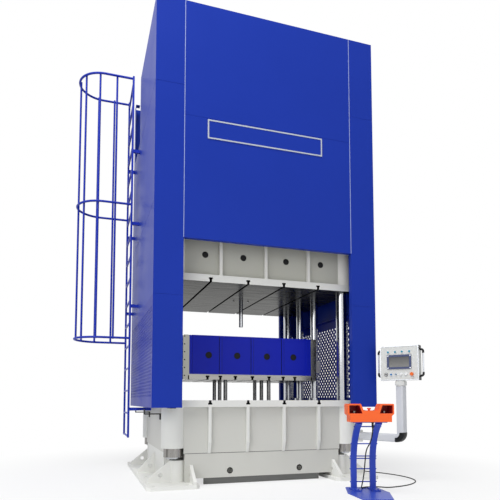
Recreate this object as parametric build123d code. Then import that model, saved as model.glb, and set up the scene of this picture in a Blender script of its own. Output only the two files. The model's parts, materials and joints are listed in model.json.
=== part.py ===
from build123d import *
import math
import os

# A four-column hydraulic deep-drawing press in sheet-metal cladding.
# Millimetres, +Z up, +Y to the back, +X to the operator's right.
# The origin is on the floor under the centre of the four columns.

os.makedirs("parts", exist_ok=True)

# Driving dimensions of the frame
column_x = 1045.0            # column axes from the centre, across
column_y = 873.0             # column axes from the centre, front to back
column_d = 150.0
boss_r = 130.0               # round corner boss about each column
table_top = 930.0
table_t = 74.0
bed_bottom = 349.0
boss_bottom = 409.0          # nut seat under the bed
panel_set = 45.0             # weldment walls behind the boss faces
plate = 40.0                 # heavy weldment plate
web = 30.0                   # lighter weldment plate
slide_under = 2256.0         # underside of the slide, at the top of its stroke
slide_plate_t = 80.0
slide_h = 764.0              # height of the slide's weldment
headroom = 460.0             # from the slide to the crown
crown_h = 720.0
guide_gap = 0.3              # radial clearance of a sliding fit

# Cladding
cover_x = 1325.0             # outer faces, across
cover_y = 1190.0             # outer faces, front to back
cover_low = 852.0
parapet_h = 937.0            # the cladding stands this far above the deck
corner_w = 318.0             # width of a corner cover
panel_low = 2674.0           # lower edge of the front panel
sheet = 4.0
fold = 60.0                  # folded edge of a cover
cover_gap = 6.0              # between the folded edges
seam_w = 6.0
seam_cut = 1.5
side_split = 2045.0          # perforated below, plain above
upper_seam = 4370.0
seam_panel = 4037.0
side_seam = 3043.0
side_stiffener = 3200.0
vent_columns = 12            # openings of a perforated side sheet
vent_rows = 6
vent_margin = 60.0
vent_bar = 24.0

# Tool slots
slot_pitch = 440.0
slot_neck = 28.0
slot_head = 46.0
slot_head_t = 20.0
slot_depth = 48.0

# Platen on the cushion rods
platen_under = 1180.0
platen_plate_t = 64.0
platen_top = 1716.0
platen_x = 757.0             # beam ends
platen_y = 490.0
platen_beam_t = 120.0
end_x = 795.0                # inner face of an end plate
end_t = 75.0
platen_stroke = 150.0
rod_x = 290.0
rod_y = 282.0
lift_rod_d = 50.0
head_top = 700.0             # top of the crosshead in the bed
head_t = 70.0
guide_rod_x = 965.0
guide_rod_y = 240.0
guide_rod_d = 100.0

# Feet
foot_in = 800.0
foot_out = 1360.0
foot_y = 1177.0
foot_t = 40.0
anchor_d = 40.0
anchor_edge = 80.0
anchor_inner = 130.0         # inner row, clear of the side rib

# Nuts
nut_r = 104.0
nut_t = 96.0
nut_lip = 20.0
nut_slot = 10.0              # depth of a spanner slot
nut_slot_w = 22.0

# Ejector
ejector_d = 53.0
ejector_low = 1903.0

# Ladder and cage
ladder_x = 1422.0            # centre of the stiles, to the left
ladder_front = 382.0
ladder_back = 1041.0
stile_w = 50.0
stile_t = 25.0
stile_low = 445.0
rung_first = 760.0
rung_pitch = 300.0
rung_d = 25.0
hoop_low = 1751.0
hoop_middle = 3561.0
hoop_reach = 2120.0          # centre line of a hoop, from the middle of the press
hoop_r = 15.0                # radius of the hoop tube
cage_bar_r = 13.5
cage_bar_pitch = 224.0       # along the hoop
cage_bar_set = 18.0          # bars lie this far inside the hoops' centre line
door_sill = 20.0             # of the access opening, above the deck

# Service deck behind the parapet
deck_rise = 130.0            # above the crown
deck_t = 6.0

# Control panel arm
arm_pivot = (1245.0, -905.0)
arm_level = 497.0
arm_size = 90.0
arm_wall = 6.0
post_at = (1475.0, -1465.0)
post_top = 1090.0
box_w = 440.0
box_h = 395.0
box_d = 110.0
box_low = 1158.0
box_turn = -51.7             # degrees, the panel faces the operator

# Two-hand console, x to its right, y away from the operator
stand_at = (797.0, -1752.0)  # between the feet of the legs
stand_turn = -16.0
stand_lean = 266.0           # the legs bend this far towards the operator
stand_top = 716.0
leg_pitch = 200.0
leg_w = 60.0
leg_t = 30.0
base_t = 10.0
yoke_w = 460.0
yoke_d = 160.0
yoke_top = 895.0

slide_seat = slide_under + slide_plate_t
slide_top = slide_seat + slide_h
crown_bottom = slide_top + headroom
crown_top = crown_bottom + crown_h
deck_top = crown_top + deck_rise
door_low = deck_top + door_sill
cover_high = deck_top + parapet_h
hoop_levels = (hoop_low, hoop_middle, cover_high - hoop_r - 10)
column_r = column_d / 2
base_x = column_x + boss_r
base_y = column_y + boss_r
wall_x = base_x - panel_set
wall_y = base_y - panel_set
inner_x = wall_x - plate
inner_y = wall_y - plate
post_x = column_x - boss_r   # walls meet the corner posts here
post_y = column_y - boss_r
table_under = table_top - table_t
corners = [(sx * column_x, sy * column_y) for sx in (-1, 1) for sy in (-1, 1)]
slot_xs = [(k - 1.5) * slot_pitch for k in range(4)]
lift_rods_at = [(sx * rod_x, k * rod_y) for sx in (-1, 1) for k in (-1, 0, 1)]
guide_rods_at = [(sx * guide_rod_x, sy * guide_rod_y) for sx in (-1, 1) for sy in (-1, 1)]


# Basic shapes by their limits
def block(x0, x1, y0, y1, z0, z1):
    return Pos((x0 + x1) / 2, (y0 + y1) / 2, (z0 + z1) / 2) * Box(x1 - x0, y1 - y0, z1 - z0)


def rod(x, y, z0, z1, r):
    return Pos(x, y, (z0 + z1) / 2) * Cylinder(r, z1 - z0)


def rod_y_axis(x, z, y0, y1, r):
    return Pos(x, (y0 + y1) / 2, z) * Rot(90, 0, 0) * Cylinder(r, y1 - y0)


def rod_x_axis(y, z, x0, x1, r):
    return Pos((x0 + x1) / 2, y, z) * Rot(0, 90, 0) * Cylinder(r, x1 - x0)


def ring(x, y, z0, z1, r_out, r_in):
    return rod(x, y, z0, z1, r_out) - rod(x, y, z0 - 1, z1 + 1, r_in)


def rounded_slab(half_x, half_y, r, z0, z1):
    outline = RectangleRounded(2 * half_x, 2 * half_y, r)
    return Pos(0, 0, z0) * extrude(outline, z1 - z0)


def prism_xz(points, y0, y1):
    face = make_face(Polyline(*[(x, y0, z) for x, z in points], close=True))
    return extrude(face, amount=y1 - y0, dir=(0, 1, 0))


def prism_yz(points, x0, x1):
    face = make_face(Polyline(*[(x0, y, z) for y, z in points], close=True))
    return extrude(face, amount=x1 - x0, dir=(1, 0, 0))


def prism_xy(points, z0, z1):
    face = make_face(Polyline(*[(x, y, z0) for x, y in points], close=True))
    return extrude(face, amount=z1 - z0, dir=(0, 0, 1))


def group(pieces):
    return Compound(children=[p.solid() for p in pieces])


def both_sides(piece):
    return [piece, mirror(piece, about=Plane.YZ)]


def all_corners(piece):
    front = both_sides(piece)
    return front + [mirror(p, about=Plane.XZ) for p in front]


def save(node, shape):
    export_step(shape, "parts/" + node + ".step")


# A T-slot along the Y axis; up is 1 for a slot open at the top, -1 at the bottom
def tool_slot(x, face_z, up, y0, y1):
    neck_low, neck_high = sorted((face_z + up, face_z - up * slot_depth))
    neck = block(x - slot_neck / 2, x + slot_neck / 2, y0, y1, neck_low, neck_high)
    head_low, head_high = sorted((face_z - up * slot_depth, face_z - up * (slot_depth - slot_head_t)))
    head = block(x - slot_head / 2, x + slot_head / 2, y0, y1, head_low, head_high)
    return [neck, head]


def bore_corners(shape, z0, z1, r):
    return shape - [rod(x, y, z0 - 1, z1 + 1, r) for x, y in corners]


def bossed_slab(z0, z1):
    slab = rounded_slab(wall_x, wall_y, boss_r, z0, z1)
    for x, y in corners:
        slab = slab + rod(x, y, z0, z1, boss_r)
    return slab


# A corner post: the round boss with the ends of the two walls that run into it
def corner_post(low, high, bore_r):
    post = rod(column_x, column_y, low, high, boss_r)
    post = post + block(post_x, column_x, inner_y, wall_y, low, high)
    post = post + block(inner_x, wall_x, post_y, column_y, low, high)
    return post - rod(column_x, column_y, low - 1, high + 1, bore_r)


# A box weldment: bottom plate, front wall, other walls, corner posts and top plate
def weldment(z0, z1, bore_r):
    low = z0 + plate
    high = z1 - plate
    bottom = bore_corners(bossed_slab(z0, low), z0, z1, bore_r)
    roof = bore_corners(bossed_slab(high, z1), z0, z1, bore_r)
    front = block(-post_x, post_x, -wall_y, -inner_y, low, high)
    walls = [mirror(front, about=Plane.XZ), *both_sides(block(inner_x, wall_x, -post_y, post_y, low, high))]
    return bottom, front, walls, all_corners(corner_post(low, high, bore_r)), roof


# Ribs on the front and rear faces of a weldment
def face_ribs(xs, z0, z1):
    ribs = []
    for x in xs:
        for s in (-1, 1):
            low, high = sorted((s * wall_y, s * base_y))
            ribs.append(block(x - rib_t / 2, x + rib_t / 2, low, high, z0, z1))
    return ribs


# Bed
rib_t = 32.0
rib_foot = 112.0             # height of the tapered lower end of a rib
rib_toe = 8.0                # depth of a rib at its lower end
apron_low = 79.0
apron_x = 830.0
apron_hole_x = 420.0
apron_hole_z = 151.0
apron_hole_d = 52.0
plinth_x = 700.0
plinth_y = 890.0
bay_x = 661.0                # webs beside the cushion
bay_y = 520.0
cushion_r = 150.0
nut_clear = 2.0              # round the boss, over the nut
rod_clear = 4.0              # round a rod that passes freely


def tapered_rib(x):
    outline = [(-wall_y, bed_bottom), (-wall_y - rib_toe, bed_bottom), (-base_y, bed_bottom + rib_foot),
               (-base_y, table_under), (-wall_y, table_under)]
    return prism_yz(outline, x - rib_t / 2, x + rib_t / 2)


def bed_frame():
    floor_z = bed_bottom + plate
    roof_z = table_under - plate
    bottom, front, walls, posts, roof = weldment(bed_bottom, table_under, column_r + guide_gap)
    reliefs = [rod(x, y, bed_bottom - 1, boss_bottom, boss_r + nut_clear) for x, y in corners]
    bottom = bottom - reliefs - rod(0, 0, bed_bottom - 1, floor_z + 1, cushion_r + guide_gap)
    posts = [post - reliefs for post in posts]
    half = web / 2
    guide_r = guide_rod_d / 2 + rod_clear
    roof = roof - [rod(x, y, roof_z - 1, table_under + 1, guide_r) for x, y in guide_rods_at]
    front_strip = roof & block(-base_x, base_x, -base_y, -bay_y + half, roof_z, table_under)
    side_strip = roof & block(bay_x - half, base_x, -bay_y + half, bay_y - half, roof_z, table_under)
    strips = [front_strip, mirror(front_strip, about=Plane.XZ), *both_sides(side_strip)]
    ribs = [tapered_rib(x) for x in slot_xs]
    ribs += [mirror(r, about=Plane.XZ) for r in ribs]
    webs = [block(s * bay_x - half, s * bay_x + half, -inner_y, inner_y, floor_z, roof_z) for s in (-1, 1)]
    webs += [block(-bay_x + half, bay_x - half, s * bay_y - half, s * bay_y + half, floor_z, roof_z)
             for s in (-1, 1)]
    apron = block(-apron_x, apron_x, -wall_y, -wall_y + web, apron_low, bed_bottom)
    apron_hole = rod_y_axis(apron_hole_x, apron_hole_z, -wall_y - 1, -wall_y + web + 1, apron_hole_d / 2)
    apron = apron - both_sides(apron_hole)
    side_apron = block(apron_x - web, apron_x, -wall_y + web, wall_y - web, apron_low, bed_bottom)
    plinth = block(-plinth_x, plinth_x, -plinth_y, -plinth_y + web, 0, bed_bottom)
    skirts = [apron, plinth]
    skirts += [mirror(p, about=Plane.XZ) for p in skirts] + both_sides(side_apron)
    return group([bottom, front, *walls, *posts, *strips, *ribs, *webs, *skirts])


def bed_table():
    top = rounded_slab(base_x, base_y, boss_r, table_under, table_top)
    cuts = []
    for x in slot_xs:
        cuts += tool_slot(x, table_top, 1, -base_y - 1, base_y + 1)
    cuts += [rod(x, y, table_under - 1, table_top + 1, lift_rod_d / 2 + rod_clear) for x, y in lift_rods_at]
    top = top - cuts
    return bore_corners(top, table_under, table_top, column_r + rod_clear)


save("bed_frame", bed_frame())
save("bed_table", bed_table())

# Feet: base plate, channel pedestal, front and back pillars, gussets
pedestal_in = 870.0
pedestal_out = 1124.0
pedestal_y = 745.0
pillar_x = 995.0
pillar_r = 85.0
pillar_top = 275.0
gusset_top = 290.0
gusset_toe = 1330.0
toe_h = 36.0                 # height of a gusset at its toe
gusset_hole_d = 50.0
gusset_hole_out = 58.0       # from the pedestal to the middle of the hole
gusset_hole_z = 122.0
rib_hole_r = 18.0
rib_hole_y = column_y + 90.0
rib_set = 10.0               # side ribs end this far from the foot's edge
chamfer_foot = 45.0


def foot():
    flat = Pos((foot_in + foot_out) / 2, 0, 0) * Box(foot_out - foot_in, 2 * foot_y, foot_t,
                                                     align=(Align.CENTER, Align.CENTER, Align.MIN))
    flat = chamfer(flat.edges().filter_by(Axis.Z), chamfer_foot)
    anchors = [rod(x, y, -1, foot_t + 1, anchor_d / 2)
               for x in (foot_in + anchor_inner, foot_out - anchor_edge)
               for y in (-foot_y + anchor_edge, -foot_y / 3, foot_y / 3, foot_y - anchor_edge)]
    flat = flat - anchors
    shell = block(pedestal_in, pedestal_out, -pedestal_y, pedestal_y, foot_t - 1, bed_bottom)
    shell = shell - block(pedestal_in - 1, pedestal_out - web, -pedestal_y + web, pedestal_y - web,
                          foot_t - 2, bed_bottom - web)
    pieces = [shell]
    reach = column_y - pedestal_y
    for s in (-1, 1):
        y_pillar = s * (column_y - 28)
        pieces.append(rod(pillar_x, y_pillar, foot_t - 1, pillar_top, pillar_r))
        low, high = sorted((y_pillar, s * (pedestal_y - 1)))
        pieces.append(block(pillar_x - pillar_r, pillar_x + pillar_r, low, high, foot_t - 1, pillar_top))
        toe_y = s * (foot_y - rib_set)
        root_y = s * (pedestal_y - 5)
        side = [(root_y, foot_t - 1), (toe_y, foot_t - 1), (toe_y, foot_t + toe_h),
                (s * (pedestal_y + reach), gusset_top), (root_y, gusset_top)]
        rib = prism_yz(side, pedestal_in - web, pedestal_in + 5)
        rib = rib - rod_x_axis(s * rib_hole_y, gusset_hole_z, pedestal_in - web - 1, pedestal_in + 6,
                               rib_hole_r)
        pieces.append(rib)
    for y, start in ((-column_y, pillar_x + 40), (0, pedestal_out - 5), (column_y, pillar_x + 40)):
        top = gusset_top if y == 0 else pillar_top
        top_x = max(start, pillar_x + pillar_r) if y else pedestal_out
        outline = [(start, foot_t - 1), (gusset_toe, foot_t - 1), (gusset_toe, foot_t + toe_h), (top_x, top),
                   (start, top)]
        wing = prism_xz(outline, y - web / 2, y + web / 2)
        hole_x = pedestal_out + gusset_hole_out
        wing = wing - rod_y_axis(hole_x, gusset_hole_z, y - web, y + web, gusset_hole_d / 2)
        pieces.append(wing)
    return flat.fuse(*pieces)


right_foot = foot()
save("foot_right", right_foot)
save("foot_left", mirror(right_foot, about=Plane.YZ))

# Tie columns and their nuts
column_low = boss_bottom - nut_t - nut_lip
column_high = crown_top + nut_t + nut_lip


def tie_column(x, y):
    bar = rod(x, y, column_low, column_high, column_r)
    ends = bar.edges().filter_by(GeomType.CIRCLE)
    return chamfer(ends, 6)


def column_nut(x, y, z0):
    nut = ring(x, y, z0, z0 + nut_t, nut_r, column_r)
    key = Box(2 * nut_slot, nut_slot_w, nut_t + 2)
    slots = [Pos(x, y, z0 + nut_t / 2) * Rot(0, 0, 90 * k + 45) * Pos(nut_r, 0, 0) * key for k in range(4)]
    return nut - slots


save("tie_columns", group([tie_column(x, y) for x, y in corners]))
nuts = [column_nut(x, y, boss_bottom - nut_t) for x, y in corners]
nuts += [column_nut(x, y, crown_top) for x, y in corners]
save("column_nuts", group(nuts))

# Crown and the two main cylinders
cylinder_x = 480.0
barrel_r = 230.0
ram_gap = 80.0               # from the ram to the outside of the barrel
bore_relief = 20.0
nose_t = 60.0                # collar under the crown
collar_w = 50.0
gland_h = 120.0
cap_h = 105.0
cap_t = 60.0
bolt_ring = 26.0
bolt_r = 15.0
bolt_h = 18.0
web_gap = 45.0               # from a barrel to the web beside it
ram_r = barrel_r - ram_gap
nose_low = crown_bottom - nose_t
cap_top = crown_top + cap_h


def crown_frame():
    low = crown_bottom + plate
    high = crown_top - plate
    bottom, front, walls, posts, roof = weldment(crown_bottom, crown_top, column_r + guide_gap)
    barrels = [rod(s * cylinder_x, 0, crown_bottom - 1, crown_top + 1, barrel_r + guide_gap)
               for s in (-1, 1)]
    bottom = bottom - barrels - [rod(x, y, crown_bottom - 1, low + 1, guide_rod_d / 2 + guide_gap)
                                 for x, y in guide_rods_at]
    roof = roof - barrels
    web_x = cylinder_x + barrel_r + web_gap
    webs = [block(x - web / 2, x + web / 2, -inner_y, inner_y, low, high) for x in (-web_x, 0, web_x)]
    ribs = face_ribs(slot_xs, crown_bottom, crown_top)
    return group([bottom, front, *walls, *posts, roof, *webs, *ribs])


def bolt_circle(x, r, count, z0, z1, bolt_radius):
    bolts = []
    for k in range(count):
        a = math.radians(360 * (k + 0.5) / count)
        bolts.append(rod(x + r * math.cos(a), r * math.sin(a), z0, z1, bolt_radius))
    return bolts


def main_cylinder(x):
    barrel = rod(x, 0, nose_low, cap_top, barrel_r)
    barrel = barrel + rod(x, 0, nose_low, crown_bottom, barrel_r + collar_w)
    barrel = barrel - rod(x, 0, nose_low - 1, nose_low + gland_h + 1, ram_r + guide_gap)
    barrel = barrel - rod(x, 0, nose_low + gland_h, cap_top - cap_t, ram_r + bore_relief)
    return barrel + bolt_circle(x, barrel_r + bolt_ring, 12, nose_low - bolt_h, nose_low + 1, bolt_r)


save("crown_frame", crown_frame())
save("main_cylinders", group([main_cylinder(-cylinder_x), main_cylinder(cylinder_x)]))

# Slide: weldment, slotted plate, guide bushes and rams
slide_hole_d = 64.0
slide_hole_up = 234.0        # from the plate to the middle of a lifting hole
slide_holes = (-716.0, -265.0, 265.0, 716.0)
slide_rib_pitch = 540.0
bush_t = 22.0
bush_len = 220.0
case_r = 100.0               # ejector cylinder in the slide
case_wall = 30.0
case_nose = 60.0
guide_clear = 6.0
pin_x = 100.0
pin_out = 14.0
pin_radius = 12.0
ram_foot_w = 45.0
ram_foot_t = 30.0
stud_h = 18.0
stud_r = 14.0
ram_short = 90.0             # the ram ends this far under the cylinder's cap


def guide_bores(z0, z1):
    return [rod(x, y, z0 - 1, z1 + 1, guide_rod_d / 2 + guide_clear) for x, y in guide_rods_at]


def slide_frame():
    low = slide_seat + plate
    high = slide_top - plate
    bottom, front, walls, posts, roof = weldment(slide_seat, slide_top, column_r + bush_t)
    hole_z = slide_seat + slide_hole_up
    front = front - [rod_y_axis(x, hole_z, -wall_y - 1, -inner_y + 1, slide_hole_d / 2) for x in slide_holes]
    bottom = bottom - rod(0, 0, slide_seat - 1, low + 1, ejector_d / 2 + guide_gap)
    nose = slide_seat + case_nose
    case = rod(0, 0, low, high, case_r) - rod(0, 0, low - 1, nose + 1, ejector_d / 2 + guide_gap)
    case = case - rod(0, 0, nose, high - plate, case_r - case_wall)
    guides = guide_bores(slide_seat, slide_top)
    web_plate = block(cylinder_x - web / 2, cylinder_x + web / 2, -inner_y, inner_y, low, high)
    webs = both_sides(web_plate)
    ribs = face_ribs((-slide_rib_pitch, 0.0, slide_rib_pitch), slide_seat, slide_top)
    return group([bottom - guides, front, *walls, *posts, roof - guides, case, *webs, *ribs])


def slide_plate():
    body = rounded_slab(base_x, base_y, boss_r, slide_under, slide_seat)
    cuts = []
    for x in slot_xs:
        cuts += tool_slot(x, slide_under, -1, -base_y - 1, base_y + 1)
    cuts.append(rod(0, 0, slide_under - 1, slide_seat + 1, ejector_d / 2 + guide_gap))
    cuts += guide_bores(slide_under, slide_seat)
    body = body - cuts
    body = bore_corners(body, slide_under, slide_seat, column_r + rod_clear)
    return body + [rod(s * pin_x, 0, slide_under - pin_out, slide_under + 1, pin_radius) for s in (-1, 1)]


def ram(x):
    bar = rod(x, 0, slide_top, cap_top - ram_short, ram_r)
    foot_ring = rod(x, 0, slide_top, slide_top + ram_foot_t, ram_r + ram_foot_w)
    seat = slide_top + ram_foot_t
    studs = bolt_circle(x, ram_r + ram_foot_w / 2, 8, seat - 1, seat + stud_h, stud_r)
    return bar + foot_ring + studs


bushes = [ring(x, y, z, z + bush_len, column_r + bush_t, column_r + guide_gap)
          for x, y in corners for z in (slide_seat, slide_top - bush_len)]
save("slide_frame", slide_frame())
save("slide_plate", slide_plate())
save("slide_bushes", group(bushes))
save("slide_rams", group([ram(-cylinder_x), ram(cylinder_x)]))

# Ejector rod with its piston, run out as in use
piston_up = 200.0
piston_t = 50.0
piston_z = slide_seat + piston_up


def ejector_rod():
    bar = rod(0, 0, ejector_low, piston_z + 1, ejector_d / 2)
    bar = chamfer(bar.edges().filter_by(GeomType.CIRCLE).group_by(Axis.Z)[0], 4)
    return bar + rod(0, 0, piston_z, piston_z + piston_t, case_r - case_wall - guide_gap)


save("ejector_rod", ejector_rod())

# Platen: slotted plate, two box beams with end heads, bolted end plates
platen_slots = (-570.0, -410.0, -220.0, 0.0, 220.0, 410.0, 570.0)
platen_holes = (-555.0, -195.0, 195.0, 555.0)
platen_hole_d = 74.0
platen_hole_z = 1476.0
platen_ribs = (-407.0, 0.0, 407.0)
platen_seat = platen_under + platen_plate_t
beam_wall = 20.0
beam_trim = 28.0             # raised strips on a beam's face
trim_t = 10.0
band_h = 14.0
face_set = 8.0               # the beam's wall lies behind its strips
end_chamfer = 12.0
end_hole_x = 57.0
end_hole_r = 8.0
end_hole_deep = 40.0
end_hole_first = 20.0
end_pitch = 94.0
end_slot = 14.0
platen_head_d = 30.0
head_first = 66.0
head_edge = 50.0


def platen_plate():
    body = block(-end_x, end_x, -platen_y, platen_y, platen_under, platen_seat)
    cuts = []
    for x in platen_slots:
        cuts += tool_slot(x, platen_under, -1, -platen_y - 1, platen_y + 1)
    return body - cuts


# The front beam; the rear one is its mirror image
def platen_beam():
    wall = -platen_y + face_set
    back = -platen_y + platen_beam_t
    beam = block(-platen_x, platen_x, wall, back, platen_seat, platen_top)
    beam = beam - block(-platen_x + beam_wall, platen_x - beam_wall, wall + beam_wall, back - beam_wall,
                        platen_seat + beam_wall, platen_top - beam_wall)
    half = beam_trim / 2
    trims = [block(x - half, x + half, -platen_y, -platen_y + trim_t, platen_seat, platen_top)
             for x in (-platen_x + half, *platen_ribs, platen_x - half)]
    trims.append(block(-platen_x, platen_x, -platen_y, -platen_y + trim_t, platen_top - band_h, platen_top))
    eyes = [rod_y_axis(x, platen_hole_z, -platen_y - 1, wall + beam_wall + 1, platen_hole_d / 2)
            for x in platen_holes]
    return beam.fuse(*trims) - eyes


def platen_end():
    body = block(end_x, end_x + end_t, -platen_y, platen_y, platen_under, platen_top)
    body = chamfer(body.edges().filter_by(Axis.Y).group_by(Axis.Z)[-1], end_chamfer)
    holes = []
    for k in range(6):
        z = platen_top - end_hole_first - end_pitch * k
        front = rod_y_axis(end_x + end_hole_x, z, -platen_y - 1, -platen_y + end_hole_deep, end_hole_r)
        holes += [front, mirror(front, about=Plane.XZ)]
    slot = block(end_x - 1, end_x + end_slot, -platen_y - 1, platen_y + 1, platen_under - 1,
                 platen_under + slot_depth)
    heads = []
    for k in range(5):
        z = platen_top - head_first - end_pitch * k
        for y in (-platen_y + head_edge, platen_y - head_edge):
            heads.append(rod_x_axis(y, z, platen_x, end_x + 1, platen_head_d / 2))
    return (body - holes - slot).fuse(*heads)


save("platen_plate", platen_plate())
front_beam = platen_beam()
save("platen_beams", group([front_beam, mirror(front_beam, about=Plane.XZ)]))
save("platen_ends", group(both_sides(platen_end())))

# Guide rods of the platen and the brackets that run on them
bracket_up = 120.0           # over the platen's underside
bracket_h = 150.0
bracket_half = 55.0
bracket_wall = 25.0
rod_flange_t = 28.0
rod_flange_w = 30.0
bracket_low = platen_under + bracket_up
bracket_high = bracket_low + bracket_h


# A guide rod stands on the table in a flange ring
def guide_rod(x, y):
    bar_r = guide_rod_d / 2
    bar = rod(x, y, table_top, crown_bottom + plate, bar_r)
    return [bar, ring(x, y, table_top, table_top + rod_flange_t, bar_r + rod_flange_w, bar_r + guide_gap)]


def guide_bracket(y):
    start = end_x + end_t
    arm = block(start, guide_rod_x, y - bracket_half, y + bracket_half, bracket_low, bracket_high)
    head = rod(guide_rod_x, y, bracket_low, bracket_high, guide_rod_d / 2 + bracket_wall)
    return arm + head - rod(guide_rod_x, y, bracket_low - 1, bracket_high + 1, guide_rod_d / 2 + guide_gap)


save("guide_rods", group([piece for x, y in guide_rods_at for piece in guide_rod(x, y)]))
brackets = both_sides(guide_bracket(-guide_rod_y)) + both_sides(guide_bracket(guide_rod_y))
save("platen_guides", group(brackets))

# Cushion: six rods on a crosshead with a ram, in a cylinder under the bed
cushion_low = 95.0
cushion_ram_r = 90.0
head_x = 400.0
head_y = 400.0
head_corner_r = 60.0
head_rib_y = 200.0
head_rib_h = 40.0
head_rib_edge = 40.0
cushion_flange_t = 36.0
cushion_flange_w = 50.0
cushion_base_t = 25.0
cushion_spare = 45.0         # left under the ram at the end of its stroke


def crosshead():
    under = head_top - head_t
    body = block(-head_x, head_x, -head_y, head_y, under, head_top)
    body = fillet(body.edges().filter_by(Axis.Z), head_corner_r)
    length = head_x - head_rib_edge
    ribs = [block(-length, length, y - web / 2, y + web / 2, under - head_rib_h, under + 1)
            for y in (-head_rib_y, head_rib_y)]
    return body.fuse(*ribs, rod(0, 0, cushion_low + platen_stroke + cushion_spare, under + 1, cushion_ram_r))


def cushion_cylinder():
    top = bed_bottom + plate
    flange_top = top + cushion_flange_t
    body = rod(0, 0, cushion_low - cushion_base_t, top, cushion_r)
    body = body + rod(0, 0, top, flange_top, cushion_r + cushion_flange_w)
    return body - rod(0, 0, cushion_low, flange_top + 1, cushion_ram_r + guide_gap)


rods = [rod(x, y, head_top, platen_under, lift_rod_d / 2) for x, y in lift_rods_at]
save("lift_rods", group(rods))
save("cushion_crosshead", crosshead())
save("cushion_cylinder", cushion_cylinder())


# Cladding
def groove_front(x0, x1, z):
    return block(x0, x1, -cover_y - 1, -cover_y + seam_cut, z - seam_w / 2, z + seam_w / 2)


def corner_cover():
    x_in = cover_x - corner_w
    skin = block(x_in, cover_x - sheet, -cover_y, -cover_y + sheet, cover_low, cover_high)
    inner = block(x_in, x_in + sheet, -cover_y, -cover_y + fold, cover_low, cover_high)
    outer = block(cover_x - 2 * sheet, cover_x - sheet, -cover_y, -cover_y + fold, cover_low, cover_high)
    grooves = [groove_front(x_in - 1, cover_x, z) for z in (side_split, upper_seam)]
    return skin.fuse(inner, outer) - grooves


def centre_panel():
    x1 = cover_x - corner_w
    skin = block(-x1, x1, -cover_y, -cover_y + sheet, panel_low, cover_high)
    folds = [block(-x1, -x1 + sheet, -cover_y, -cover_y + fold, panel_low, cover_high),
             block(x1 - sheet, x1, -cover_y, -cover_y + fold, panel_low, cover_high),
             block(-x1, x1, -cover_y, -cover_y + fold, panel_low, panel_low + sheet)]
    return skin.fuse(*folds) - groove_front(-x1 - 1, x1 + 1, seam_panel)


def side_panel(z0, z1, folded):
    x1 = cover_x
    skin = block(x1 - sheet, x1, -cover_y, cover_y, z0, z1)
    edge = cover_y - fold - cover_gap
    stiffeners = [block(x1 - fold, x1 - sheet + 1, -edge, edge, z, z + sheet) for z in folded]
    grooves = [block(x1 - seam_cut, x1 + 1, -cover_y - 1, cover_y + 1, z - seam_w / 2, z + seam_w / 2)
               for z in (side_seam, upper_seam) if z0 < z < z1]
    return skin.fuse(*stiffeners) - grooves


# The lower side sheet, open in a plain grid of vents
def vented_side():
    low = cover_low + vent_margin
    high = side_split - vent_margin
    pitch_y = 2 * (cover_y - vent_margin) / vent_columns
    pitch_z = (high - low) / vent_rows
    vent = Box(4 * sheet, pitch_y - vent_bar, pitch_z - vent_bar)
    spots = GridLocations(pitch_y, pitch_z, vent_columns, vent_rows)
    sheet_metal = side_panel(cover_low, side_split, (cover_low, side_split - sheet))
    middle = (low + high) / 2
    return sheet_metal - [Pos(cover_x, spot.position.X, middle + spot.position.Y) * vent for spot in spots]


right_corner = corner_cover()
save("cover_front_right", right_corner)
save("cover_front_left", mirror(right_corner, about=Plane.YZ))
rear_corner = mirror(right_corner, about=Plane.XZ)
save("covers_rear", group(both_sides(rear_corner)))
front_panel = centre_panel()
save("panel_front", front_panel)
save("panel_rear", mirror(front_panel, about=Plane.XZ))
upper_side = side_panel(side_split, cover_high, (side_split, side_stiffener, cover_high - sheet))
save("side_panel_right", upper_side)
doorway = block(-cover_x - 1, -cover_x + fold + 1, ladder_front, ladder_back, door_low, cover_high + 1)
save("side_panel_left", mirror(upper_side, about=Plane.YZ) - doorway)
save("mesh_panels", group(both_sides(vented_side())))


# Brackets between the frame and the cladding
bracket_t = 12.0
bracket_w = 60.0
lip_t = 10.0
lip_h = 60.0
bracket_y = 500.0
corner_bracket_x = column_x + 55.0
crown_bracket_zs = (crown_bottom + 300.0, crown_top - 100.0)
bed_bracket_z = table_under - 90.0
corner_bracket_zs = (table_under - bracket_t, crown_bottom + 200.0, crown_top - 60.0)


def cover_bracket(z, y):
    y0 = y - bracket_w / 2
    y1 = y + bracket_w / 2
    arm = block(wall_x, cover_x - sheet, y0, y1, z, z + bracket_t)
    ear = block(wall_x, wall_x + bracket_t, y0, y1, z - lip_h, z + bracket_t)
    lip = block(cover_x - sheet - lip_t, cover_x - sheet, y0, y1, z, z + lip_h)
    return arm.fuse(ear, lip)


# Side brackets carry the side panels; front brackets carry the corner covers
def corner_bracket(z):
    x0 = corner_bracket_x - bracket_w / 2
    x1 = corner_bracket_x + bracket_w / 2
    back = -cover_y + sheet
    arm = block(x0, x1, back, -column_y - boss_r / 2, z, z + bracket_t)
    arm = arm - rod(column_x, -column_y, z - 1, z + bracket_t + 1, boss_r)
    return arm.fuse(block(x0, x1, back, back + lip_t, z, z + lip_h))


side_brackets = []
for z in (bed_bracket_z, *crown_bracket_zs):
    for y in (-bracket_y, bracket_y):
        side_brackets += both_sides(cover_bracket(z, y))
for z in corner_bracket_zs:
    side_brackets += all_corners(corner_bracket(z))
save("cover_brackets", group(side_brackets))

# Bare name board on the front panel
board_x = (-751.0, 636.0)
board_z = (3806.0, 4024.0)
board_rim = 16.0
board_t = 5.0


def name_board():
    y1 = -cover_y
    outer = block(board_x[0], board_x[1], y1 - board_t, y1, board_z[0], board_z[1])
    field = block(board_x[0] + board_rim, board_x[1] - board_rim, y1 - board_t - 1, y1 - board_t + 2,
                  board_z[0] + board_rim, board_z[1] - board_rim)
    return outer - field


save("name_board", name_board())

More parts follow.
